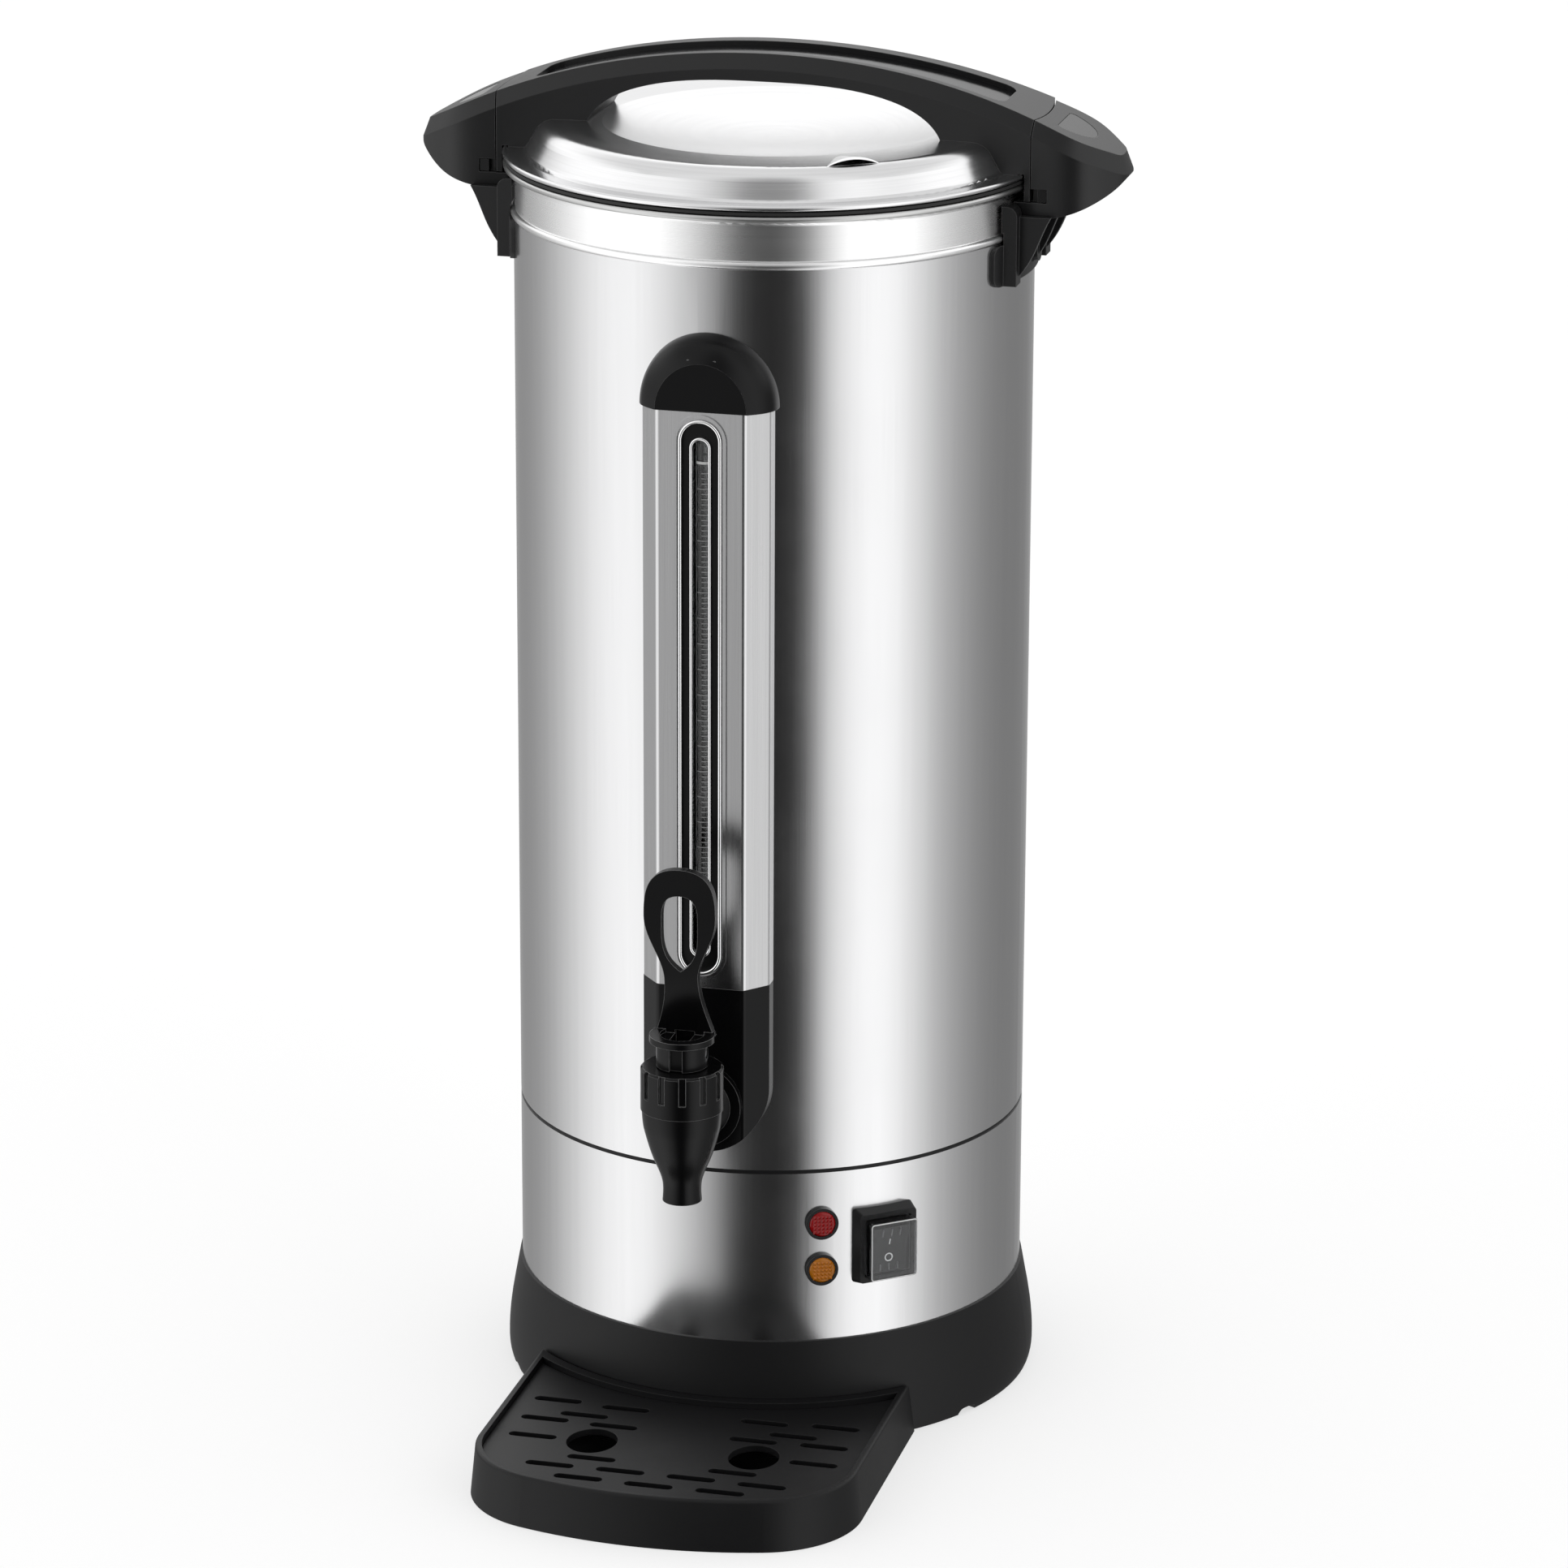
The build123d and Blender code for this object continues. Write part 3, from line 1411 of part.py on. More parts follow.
with BuildPart() as handle_inlay:
    extrude(arch_region(recess_depth - inlay_thickness, recess_depth, recess_reach + 5), amount=30, both=True)
    extrude(
        plan_of_arch(inlay_reach, recess_half_mid - slip, recess_half_end - slip, arch_ledge, recess_corner),
        amount=tools_top - arch_ledge,
        mode=Mode.INTERSECT,
    )

with BuildPart() as lid_screws:
    low = lid_top_height - lid_sheet
    with BuildSketch(Plane.XY.offset(low - screw_head_height)):
        with GridLocations(2 * lid_screw_x, 2 * lid_screw_y, 2, 2):
            Circle(screw_head_radius)
    extrude(amount=screw_head_height)
    with BuildSketch(Plane.XY.offset(low)):
        with GridLocations(2 * lid_screw_x, 2 * lid_screw_y, 2, 2):
            Circle(screw_radius)
    extrude(amount=8)

grip_start = split_radius - 17
grip_slope = 2 * (arch_half_end - arch_half_mid) / arch_reach

with BuildPart() as side_handle_right:
    with BuildSketch(Plane.XY.offset(bracket_bottom)) as plan:
        with BuildLine():
            root_half = arch_half_end - grip_slope * (arch_reach - grip_start)
            Line((grip_start, 0), (grip_start, root_half))
            straight = Line((grip_start, root_half), (split_radius, arch_half_end - 3 * grip_slope))
            Spline(
                straight @ 1,
                (grip_tip - 14, arch_half_end - 1.8),
                (grip_tip - 4, arch_half_end - 11),
                (grip_tip, 0),
                tangents=(straight % 1, (0, -1)),
            )
            mirror(about=Plane.XZ)
        make_face()
    extrude(plan.sketch, amount=tools_top - bracket_bottom)
    extrude(arch_region(0, None, grip_tip + 6), amount=40, both=True, mode=Mode.INTERSECT)
    top = side_handle_right.faces().sort_by(Axis.Z)[-1]
    rim = top.edges().filter_by(lambda edge: edge.center().X > grip_start + 1)
    chamfer(rim, length=edge_in, length2=edge_down, reference=top)
    with BuildSketch(Plane.XZ) as underside:
        with BuildLine():
            Spline(
                (grip_tip + 1, grip_bottom + 16.5),
                (grip_tip - 3.5, grip_bottom + 10.5),
                (grip_tip - 10, grip_bottom + 6),
                (grip_tip - 19, grip_bottom + 2),
                (grip_tip - 27, grip_bottom),
            )
            Polyline(
                (grip_tip - 27, grip_bottom),
                (grip_start, grip_bottom),
                (grip_start, bracket_bottom - 5),
                (grip_tip + 1, bracket_bottom - 5),
                (grip_tip + 1, grip_bottom + 16.5),
            )
        make_face()
    extrude(underside.sketch, amount=40, both=True, mode=Mode.SUBTRACT)
    # Bracket: arms that wrap round the shell, three webs and a back plate.
    with BuildSketch(Plane.XZ) as arm:
        with BuildLine():
            Polyline(
                (grip_start, bracket_bottom),
                (arm_face, bracket_bottom),
                (arm_face, grip_bottom + 5.5),
                (grip_start, grip_bottom + 5.5),
                close=True,
            )
        make_face()
        fillet(arm.vertices().group_by(Axis.Z)[0].sort_by(Axis.X)[-1], 4)
    for side in (-1, 1):
        extrude(Pos(0, side * (arm_outer + arm_inner) / 2, 0) * arm.sketch, amount=(arm_outer - arm_inner) / 2, both=True)
    with BuildSketch(Plane.XZ) as web:
        with BuildLine():
            Spline(
                (grip_tip - 25.5, grip_bottom + 1),
                (grip_tip - 29.5, grip_bottom - 7.5),
                (grip_tip - 31.8, grip_bottom - 13),
                (grip_tip - 34.2, grip_bottom - 17.5),
                (arm_face - 0.5, bracket_bottom + 2.5),
            )
            Polyline(
                (arm_face - 0.5, bracket_bottom + 2.5),
                (grip_start, bracket_bottom + 2.5),
                (grip_start, grip_bottom + 1),
                (grip_tip - 25.5, grip_bottom + 1),
            )
        make_face()
    for y in (-web_out, 0, web_out):
        extrude(Pos(0, y, 0) * web.sketch, amount=web_thickness / 2, both=True)
    for height in bracket_screws:
        boss = Plane(origin=(grip_start, 0, height), z_dir=(1, 0, 0))
        cylinder(screw_boss_radius, boss, arm_face + screw_boss_length - grip_start)
    with BuildSketch(Plane.YZ.offset(grip_start)) as pad:
        with Locations((0, bracket_bottom)):
            Rectangle(2 * pad_half, shell_top - bracket_bottom - 0.5, align=(Align.CENTER, Align.MIN))
        fillet(pad.vertices().group_by(Axis.Z)[0], 4)
    with BuildPart(mode=Mode.PRIVATE) as pad_piece:
        extrude(pad.sketch, amount=20)
        ring(body_radius + touch, body_radius + 1.6, bracket_bottom, shell_top, mode=Mode.INTERSECT)
    add(pad_piece.part)
    # Inner faces: against the shell, past the bead, beside the collar and round the lid.
    turned(
        (0, bracket_bottom - 1),
        (body_radius + touch, bracket_bottom - 1),
        (body_radius + touch, shell_top - 0.5),
        (body_radius + bead_out + running, shell_top - 0.5),
        (body_radius + bead_out + running, shell_top + bead_height + 0.5),
        (body_radius + 0.7, shell_top + bead_height + 0.5),
        (body_radius + 0.7, lip_bottom - 0.5),
        (split_radius + split_gap, lip_bottom - 0.5),
        (split_radius + split_gap, arch_height),
        (0, arch_height),
        mode=Mode.SUBTRACT,
    )
    seat = Plane(origin=(body_radius - collar_in + slip, 0, bracket_screws[1]), z_dir=(1, 0, 0))
    cylinder(screw_boss_radius, seat, 3)
    for height in bracket_screws:
        hole = Plane(origin=(grip_start, 0, height), z_dir=(1, 0, 0))
        depth = handle_screw_seat + handle_screw_length + running - grip_start
        cylinder(screw_radius + pivot_play, hole, depth, mode=Mode.SUBTRACT)
    for side in (-1, 1):
        with BuildSketch(Plane.XY.offset(lip_bottom - 0.3)) as pocket:
            with Locations((split_radius, side * catch_inner)):
                Rectangle(2 * catch_reach + 0.6, 8, align=(Align.CENTER, Align.MIN if side > 0 else Align.MAX))
        extrude(pocket.sketch, amount=catch_height + 0.6, mode=Mode.SUBTRACT)

with BuildPart() as thumb_pocket_tool:
    extrude(arch_region(-5, thumb_depth, grip_tip + 6), amount=30, both=True)
    with BuildSketch(Plane.XY.offset(bracket_bottom)) as outline:
        with BuildLine():
            Line((thumb_start, -thumb_half), (thumb_start, thumb_half))
            ThreePointArc((thumb_start, thumb_half), (thumb_end, 0), (thumb_start, -thumb_half))
        make_face()
        fillet(outline.vertices(), 2)
    extrude(outline.sketch, amount=tools_top - bracket_bottom, mode=Mode.INTERSECT)

with BuildPart() as thumb_inlay_right:
    extrude(arch_region(thumb_depth - thumb_thickness, thumb_depth, grip_tip + 6), amount=30, both=True)
    with BuildSketch(Plane.XY.offset(bracket_bottom)) as outline:
        with BuildLine():
            Line((thumb_start, -thumb_half), (thumb_start, thumb_half))
            ThreePointArc((thumb_start, thumb_half), (thumb_end, 0), (thumb_start, -thumb_half))
        make_face()
        fillet(outline.vertices(), 2)
        offset(amount=-slip)
    extrude(outline.sketch, amount=tools_top - bracket_bottom, mode=Mode.INTERSECT)

with BuildPart() as grip_right:
    add(side_handle_right.part)
    add(thumb_pocket_tool.part, mode=Mode.SUBTRACT)

with BuildPart() as grip_left:
    mirror(grip_right.part, about=Plane.YZ)

with BuildPart() as thumb_inlays:
    add(thumb_inlay_right.part)
    mirror(thumb_inlay_right.part, about=Plane.YZ)

with BuildPart() as lid_catches:
    for side_x in (-1, 1):
        for side_y in (-1, 1):
            with BuildSketch(Plane.XY.offset(lip_bottom)):
                with Locations((side_x * (split_radius + split_gap + catch_reach / 2), side_y * (catch_inner + 1.2))):
                    Rectangle(catch_reach - 0.6, 2.4)
            extrude(amount=catch_height)

with BuildPart() as handle_screws:
    for side in (0, 180):
        for height in bracket_screws:
            plane = wall_plane(90 + side, height, handle_screw_seat - screw_head_height)
            cylinder(screw_head_radius, plane, screw_head_height)
            cylinder(screw_radius, plane.offset(screw_head_height), handle_screw_length)

# ---------------------------------------------------------------- drip tray


def tray_outline(height, inset, back):
    """Plan of the tray at one level: bowed front, round corners and a back that follows the skirt."""
    with BuildSketch(Plane.XY.offset(height)) as face:
        with Locations((0, tray_front_radius - tray_front)):
            Circle(tray_front_radius - inset)
        Rectangle(
            2 * (tray_half - inset),
            tray_front,
            align=(Align.CENTER, Align.MAX),
            mode=Mode.INTERSECT,
        )
        fillet(face.vertices().group_by(Axis.Y)[0], radius=tray_corner - inset)
        Circle(back, mode=Mode.SUBTRACT)
    return face.sketch


with BuildPart() as drip_tray:
    loft([tray_outline(0, 0, tray_back), tray_outline(tray_height, tray_taper, tray_back)])
    top = drip_tray.faces().sort_by(Axis.Z)[-1]
    rim = top.edges().filter_by(lambda edge: edge.center().length > tray_back + 2 * tray_wall)
    fillet(rim, radius=tray_round)
    inner = tray_taper + tray_wall
    extrude(tray_outline(grille_top - grille_thickness, inner, tray_rear), amount=10, mode=Mode.SUBTRACT)
    extrude(tray_outline(tray_floor, inner + tray_ledge, tray_rear + tray_ledge), amount=30, mode=Mode.SUBTRACT)
    for side in (-1, 1):
        with BuildSketch(Plane.XY.offset(tongue_low)):
            with Locations((side * tongue_x, -ledge_radius)):
                Rectangle(tongue_width, 40)
        extrude(amount=tongue_thickness)

with BuildPart() as drip_grille:
    inner = tray_taper + tray_wall + running
    extrude(tray_outline(grille_top - grille_thickness, inner, tray_rear + running), amount=grille_thickness)
    with BuildSketch(Plane.XY.offset(grille_top - grille_thickness)):
        for column, rows in enumerate(grille_rows):
            for from_front in rows:
                y = from_front - tray_front
                with Locations((column * grille_pitch, y), (-column * grille_pitch, y)):
                    SlotOverall(slot_length, slot_width)
        for side in (-1, 1):
            with Locations((side * finger_x, finger_back - tray_front)):
                Ellipse(finger_width / 2, finger_length / 2)
    extrude(amount=grille_thickness, mode=Mode.SUBTRACT)

# ---------------------------------------------------------------- export

pieces = {
    "base_skirt": base_skirt,
    "bottom_plate": bottom_plate,
    "bottom_screws": bottom_screws,
    "rubber_feet": rubber_feet,
    "control_band": control_band,
    "seam_ring": seam_ring,
    "outer_shell": outer_shell,
    "collar": collar,
    "inner_tank": inner_tank,
    "gauge_cover": gauge_cover,
    "gauge_cap": gauge_cap,
    "tap_plate": tap_plate,
    "scale_plate": scale_plate,
    "gauge_bezel": gauge_bezel,
    "gauge_tube": gauge_tube,
    "gauge_fittings": gauge_fittings,
    "gauge_nuts": gauge_nuts,
    "gauge_seals": gauge_seals,
    "tap_body": tap_body,
    "tap_bonnet": tap_bonnet,
    "valve_stem": valve_stem,
    "seat_cup": seat_cup,
    "tap_spring": tap_spring,
    "tap_nut": tap_nut,
    "tap_washers": tap_washers,
    "tap_lever": tap_lever,
    "lever_pin": lever_pin,
    "lamp_bezels": lamp_bezels,
    "lamp_heating": lamp_heating,
    "lamp_warm": lamp_warm,
    "switch_bezel": switch_bezel,
    "switch_rocker": switch_rocker,
    "switch_cover": switch_cover,
    "power_inlet": power_inlet,
    "inlet_pins": inlet_pins,
    "inlet_screws": inlet_screws,
    "thermal_cutout": thermal_cutout,
    "reset_nut": reset_nut,
    "reset_button": reset_button,
    "heating_element": heating_element,
    "thermostat": thermostat,
    "terminal_block": terminal_block,
    "pump_tube": pump_tube,
    "coffee_basket": coffee_basket,
    "basket_lid": basket_lid,
    "lid_shell": lid_shell,
    "lid_seal": lid_seal,
    "lid_handle": lid_handle,
    "handle_inlay": handle_inlay,
    "lid_screws": lid_screws,
    "side_handle_right": grip_right,
    "side_handle_left": grip_left,
    "thumb_inlays": thumb_inlays,
    "lid_catches": lid_catches,
    "handle_screws": handle_screws,
    "drip_tray": drip_tray,
    "drip_grille": drip_grille,
}
for name, piece in pieces.items():
    piece.part.label = name
    export_step(piece.part, f"parts/{name}.step")
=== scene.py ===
# %% [markdown]
# # A coffee urn, finished in Blender
# The urn comes in as a imported CAD model. Every rigid piece already has its true shape, so this
# lesson gives each one its finish, adds the small printed and moulded details, and lights it all.
#
# The first cell loads the model.

# %% Load the urn
from math import cos, pi, radians, sin

import bmesh
import bpy
from mathutils import Matrix, Vector


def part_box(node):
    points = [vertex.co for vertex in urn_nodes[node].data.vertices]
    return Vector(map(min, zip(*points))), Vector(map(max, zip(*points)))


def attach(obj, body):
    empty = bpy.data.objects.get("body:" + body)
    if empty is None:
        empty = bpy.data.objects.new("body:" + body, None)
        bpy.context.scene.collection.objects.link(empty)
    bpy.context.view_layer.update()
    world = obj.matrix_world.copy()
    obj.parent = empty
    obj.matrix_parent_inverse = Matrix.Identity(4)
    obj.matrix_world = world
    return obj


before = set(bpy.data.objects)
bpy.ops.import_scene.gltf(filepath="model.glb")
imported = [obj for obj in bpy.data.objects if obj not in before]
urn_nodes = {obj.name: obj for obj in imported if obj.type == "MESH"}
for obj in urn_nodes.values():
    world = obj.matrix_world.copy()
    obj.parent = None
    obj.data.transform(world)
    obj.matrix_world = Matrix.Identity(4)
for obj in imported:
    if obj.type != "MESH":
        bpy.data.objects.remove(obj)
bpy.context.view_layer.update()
MM = 0.001

# %% [markdown]
# ## Camera
# Catalogue pictures of tall appliances are taken with a long lens from far away, so that upright
# sides stay nearly parallel. A 151 mm lens two and a half metres away does that. The camera stands
# a little to the right of the tap and looks slightly down, which shows the lid and the drip tray.

# %% Camera
lens_length = 150.81  # in millimetres, and so is the film
film_width = 36
view_side = radians(14.1)  # round from the front, towards the switch
view_reach = 2.4676
view_height = 1.0153
view_pitch = 0.3054
view_yaw = 0.0018
view_roll = 0.0039

camera_data = bpy.data.cameras.new("camera")
camera_data.lens = lens_length
camera_data.sensor_width = film_width
camera = bpy.data.objects.new("camera", camera_data)
bpy.context.collection.objects.link(camera)
place = Matrix.Translation((view_reach * sin(view_side), -view_reach * cos(view_side), view_height))
turn = Matrix.Rotation(view_side - view_yaw, 4, "Z") @ Matrix.Rotation(pi / 2 - view_pitch, 4, "X")
camera.matrix_world = place @ turn @ Matrix.Rotation(view_roll, 4, "Z")
bpy.context.scene.camera = camera
bpy.context.scene.view_settings.view_transform = "Standard"
print("camera at", [round(v, 3) for v in camera.matrix_world.translation])

# %% [markdown]
# ## Node helpers
# Materials, the world and the shader groups are all small graphs of nodes, and written out in full
# they take many lines. The first helper adds a node and fills in its sockets, where a value that is
# itself a socket becomes a link. The others are short forms for the nodes that come back most.

# %% Node helpers


def add_node(tree, kind, settings=None, **values):
    """Add a node, set its properties, then fill its sockets with values or links."""
    made = tree.nodes.new(kind)
    for key, value in (settings or {}).items():
        setattr(made, key, value)
    for key, value in values.items():
        spot = int(key[1:]) if key[0] == "i" and key[1:].isdigit() else key.replace("_", " ")
        socket = made.inputs[spot]
        if isinstance(value, bpy.types.NodeSocket):
            tree.links.new(value, socket)
        else:
            socket.default_value = value
    return made


def maths(tree, operation, first, second=0.0, clamp=False):
    """One Math node; gives back its result socket."""
    settings = {"operation": operation, "use_clamp": clamp}
    return add_node(tree, "ShaderNodeMath", settings, i0=first, i1=second).outputs[0]


def remap(tree, value, low, high, to_low=0.0, to_high=1.0):
    """Smooth change from to_low to to_high while value goes from low to high."""
    settings = {"interpolation_type": "SMOOTHSTEP"}
    span = {"From_Min": low, "From_Max": high, "To_Min": to_low, "To_Max": to_high}
    return add_node(tree, "ShaderNodeMapRange", settings, Value=value, **span).outputs[0]


def mix_colour(tree, share, first, second):
    """Colour that runs from the first to the second as share goes from 0 to 1."""
    settings = {"data_type": "RGBA"}
    return add_node(tree, "ShaderNodeMix", settings, Factor=share, A=first, B=second).outputs["Result"]


def grey(level):
    """Colour of one brightness."""
    return (level,) * 3 + (1,)


print("node helpers ready")

# %% [markdown]
# ## Studio
# Stainless steel has no colour of its own to speak of: what one sees is the room. The urn stands
# in a round light tent whose wall is brighter and darker by direction. Two wide soft lights stand
# left and right of the camera, and a dark gap between them draws the dark stripe down the front of
# the shell. Lamps and sheets could be set up for this, but a world shader can be such a tent
# without any, and a table of levels is quick to change. The table comes first.

# %% Levels of light
tent_levels = (  # degrees round from the camera's side, brightness
    (-180, 0.90),
    (-168, 0.27),
    (-140, 0.37),
    (-122, 0.50),
    (-104, 0.82),
    (-88, 1.15),
    (-70, 1.42),
    (-54, 1.26),
    (-36, 0.68),
    (-25, 0.42),
    (-18, 0.045),
    (-4, 0.02),
    (11, 0.025),
    (17, 0.20),
    (25, 0.98),
    (37, 1.36),
    (50, 1.47),
    (62, 1.20),
    (80, 0.62),
    (104, 0.33),
    (128, 0.25),
    (165, 0.25),
    (180, 0.90),
)
tent_peak = 1.5  # a ramp stops at 1, so its levels are shares of this
print("tent wall:", len(tent_levels), "levels of light")

# %% [markdown]
# The angle of a ray round the urn picks its level from a colour ramp. Above the horizon the tent is
# bright behind the urn, which fills the dish of the lid, and darker overhead, which shades its
# shoulder. The camera itself, and glass, see plain white, as the backdrop of a catalogue picture.

# %% Studio tent
wall_top = 0.42  # steepness of a ray, from 0 level to 1 upright, where the wall has become the sky
sky_start = 0.50  # and where the sky begins and ends to darken
sky_end = 0.78
sky_low = 1.30  # brightness above the horizon
sky_top = 0.86  # and overhead
camera_side = -0.75  # depth of a ray, from -1 at the camera's side, up to which the pattern is kept
far_side = -0.05  # and from which it is gone
kept_wall = 0.7  # share of the wall's pattern that goes on above the horizon, on the camera's side

world = bpy.data.worlds.new("light tent")
bpy.context.scene.world = world
world.use_nodes = True
tent = world.node_tree
tent.nodes.clear()
direction = add_node(tent, "ShaderNodeTexCoord").outputs["Generated"]
about_z = {"rotation_type": "Z_AXIS"}
turned = add_node(tent, "ShaderNodeVectorRotate", about_z, Vector=direction, Angle=-view_side).outputs[0]
parts = add_node(tent, "ShaderNodeSeparateXYZ", Vector=turned).outputs
round_angle = maths(tent, "ARCTAN2", parts["X"], maths(tent, "MULTIPLY", parts["Y"], -1.0))
share = maths(tent, "ADD", maths(tent, "DIVIDE", round_angle, 2 * pi), 0.5)
ramp = add_node(tent, "ShaderNodeValToRGB", Fac=share)
ramp.color_ramp.interpolation = "B_SPLINE"
stops = ramp.color_ramp.elements
for index, (angle, level) in enumerate(tent_levels):
    spot = angle / 360 + 0.5
    stop = stops[index] if index < 2 else stops.new(spot)  # a new ramp has two stops already
    stop.position = spot
    stop.color = grey(level / tent_peak)
level_colour = ramp.outputs["Color"]
raised = {"operation": "SCALE"}
wall = add_node(tent, "ShaderNodeVectorMath", raised, Vector=level_colour, Scale=tent_peak).outputs[0]
sky_tone = remap(tent, parts["Z"], sky_start, sky_end, sky_low, sky_top)
plain_share = remap(tent, parts["Y"], camera_side, far_side, 1 - kept_wall, 1.0)
sky = maths(tent, "MULTIPLY", remap(tent, parts["Z"], 0.0, wall_top), plain_share)
wall_light = mix_colour(tent, sky, wall, sky_tone)
rays = add_node(tent, "ShaderNodeLightPath").outputs
white_rays = maths(tent, "ADD", rays["Is Camera Ray"], rays["Is Transmission Ray"], clamp=True)
seen = mix_colour(tent, white_rays, wall_light, grey(1))
background = add_node(tent, "ShaderNodeBackground", Color=seen, Strength=1.0)
add_node(tent, "ShaderNodeOutputWorld", Surface=background.outputs[0])
print("tent shader:", len(tent.nodes), "nodes")

# %% [markdown]
# ## Floor
# The urn stands on a white sheet. A lit sheet alone turns grey at its edges, and a glowing one has
# no shadow. So part of its white is its own glow, which is seen but throws no light up at the urn;
# the rest is lit and keeps the shadow. The steel would mirror the sheet as a hard bright band, so
# the sheet is hidden from glossy rays in the end.

# %% Floor
floor_reach = 6.0
floor_drop = 0.0002  # keeps the sheet clear of the urn's foot
floor_glow = 0.60
floor_lit = 0.44

floor_mesh = bpy.data.meshes.new("floor")
signs = ((-1, -1), (1, -1), (1, 1), (-1, 1))
corners = [(x * floor_reach, y * floor_reach, -floor_drop) for x, y in signs]
floor_mesh.from_pydata(corners, [], [(0, 1, 2, 3)])
floor = bpy.data.objects.new("floor", floor_mesh)
bpy.context.collection.objects.link(floor)
paper = bpy.data.materials.new("white paper")
paper.use_nodes = True
sheet = paper.node_tree
sheet.nodes.clear()
rays = add_node(sheet, "ShaderNodeLightPath").outputs
shown = maths(sheet, "ADD", rays["Is Camera Ray"], rays["Is Transmission Ray"], clamp=True)
shown = maths(sheet, "ADD", shown, rays["Is Glossy Ray"], clamp=True)
glow_level = maths(sheet, "MULTIPLY", shown, floor_glow)
glow = add_node(sheet, "ShaderNodeEmission", Color=grey(1), Strength=glow_level)
lit = add_node(sheet, "ShaderNodeBsdfDiffuse", Color=grey(floor_lit))
both = add_node(sheet, "ShaderNodeAddShader", i0=glow.outputs[0], i1=lit.outputs[0])
add_node(sheet, "ShaderNodeOutputMaterial", Surface=both.outputs[0])
floor_mesh.materials.append(paper)
floor.visible_glossy = False
print("floor laid at z =", corners[0][2])

# %% [markdown]
# ## Shader groups
# Five effects come back in the finishes. Copying their nodes into every material would work too,
# but a node group is built once and has its own inputs. A group gives out only places, heights and
# masks; the shader that uses them stays in the material.
#
# The first group is for round sheet metal, which is brushed along or around its axis. It measures
# distances round the axis, out from it and up it, in metres.

# %% Distances round an axis
body_radius = 100.0  # of the shell, in millimetres


def new_group(name, inputs, outputs):
    """Empty group with named float or vector sockets; gives the tree and its two end nodes."""
    tree = bpy.data.node_groups.new(name, "ShaderNodeTree")
    for label, kind, value in inputs:
        socket = tree.interface.new_socket(label, in_out="INPUT", socket_type="NodeSocket" + kind)
        if value is not None:
            socket.default_value = value
    for label, kind in outputs:
        tree.interface.new_socket(label, in_out="OUTPUT", socket_type="NodeSocket" + kind)
    return tree, tree.nodes.new("NodeGroupInput").outputs, tree.nodes.new("NodeGroupOutput").inputs


def object_place(tree):
    """Place on the piece, in metres from its origin."""
    return add_node(tree, "ShaderNodeTexCoord").outputs["Object"]


radius_input = ("Radius", "Float", body_radius * MM)
round_metres, given, result = new_group("round metres", [radius_input], [("Vector", "Vector")])
axes = add_node(round_metres, "ShaderNodeSeparateXYZ", Vector=object_place(round_metres)).outputs
angle = maths(round_metres, "ARCTAN2", axes["X"], maths(round_metres, "MULTIPLY", axes["Y"], -1.0))
flat = add_node(round_metres, "ShaderNodeCombineXYZ", X=axes["X"], Y=axes["Y"], Z=0.0).outputs[0]
out = add_node(round_metres, "ShaderNodeVectorMath", {"operation": "LENGTH"}, i0=flat).outputs["Value"]
arc = maths(round_metres, "MULTIPLY", angle, given["Radius"])
bent = add_node(round_metres, "ShaderNodeCombineXYZ", X=arc, Y=out, Z=axes["Z"]).outputs[0]
round_metres.links.new(bent, result["Vector"])
print("group made:", round_metres.name)

# %% [markdown]
# Brushing leaves lines that are long one way and fine the other two. A wave pattern would be too
# even for that, so this is noise with a stretched scale, and slower noise over it for the bands
# that a brushing belt leaves.

# %% Brushed lines
line_noise = {"Scale": 1.0, "Detail": 3.0, "Roughness": 0.6}
band_noise = {"Scale": 1.0, "Detail": 2.0, "Roughness": 0.5}
band_stretch = (0.12, 0.12, 0.5)  # bands against lines

brushed_lines, given, result = new_group(
    "brushed lines",
    [("Vector", "Vector", None), ("Fineness", "Vector", (4000.0, 4000.0, 20.0))],
    [("Height", "Float"), ("Tone", "Float")],
)
by_axis = {"operation": "MULTIPLY"}
lines_at = add_node(
    brushed_lines, "ShaderNodeVectorMath", by_axis, i0=given["Vector"], i1=given["Fineness"]
).outputs[0]
bands_at = add_node(brushed_lines, "ShaderNodeVectorMath", by_axis, i0=lines_at, i1=band_stretch).outputs[0]
fine = add_node(brushed_lines, "ShaderNodeTexNoise", Vector=lines_at, **line_noise).outputs["Fac"]
slow = add_node(brushed_lines, "ShaderNodeTexNoise", Vector=bands_at, **band_noise).outputs["Fac"]
half_fine = maths(brushed_lines, "MULTIPLY", fine, 0.5)
half_slow = maths(brushed_lines, "MULTIPLY", slow, 0.5)
brushed_lines.links.new(fine, result["Height"])
brushed_lines.links.new(maths(brushed_lines, "ADD", half_slow, half_fine), result["Tone"])
print("group made:", brushed_lines.name)

# %% [markdown]
# Spark-eroded moulds leave an even pebble grain on black plastic. Voronoi cells are pebbles of one
# size, which plain noise isn't, and a soft cloud changes the tone from place to place.

# %% Moulded grain
cloud_noise = {"Scale": 26.0, "Detail": 4.0, "Roughness": 0.6}

moulded_grain, given, result = new_group(
    "moulded grain",
    [("Grains per metre", "Float", 2200.0)],
    [("Height", "Float"), ("Tone", "Float")],
)
point = object_place(moulded_grain)
pebbles = add_node(moulded_grain, "ShaderNodeTexVoronoi", Vector=point, Scale=given["Grains per metre"])
cloud = add_node(moulded_grain, "ShaderNodeTexNoise", Vector=point, **cloud_noise)
moulded_grain.links.new(pebbles.outputs["Distance"], result["Height"])
moulded_grain.links.new(cloud.outputs["Fac"], result["Tone"])
print("group made:", moulded_grain.name)

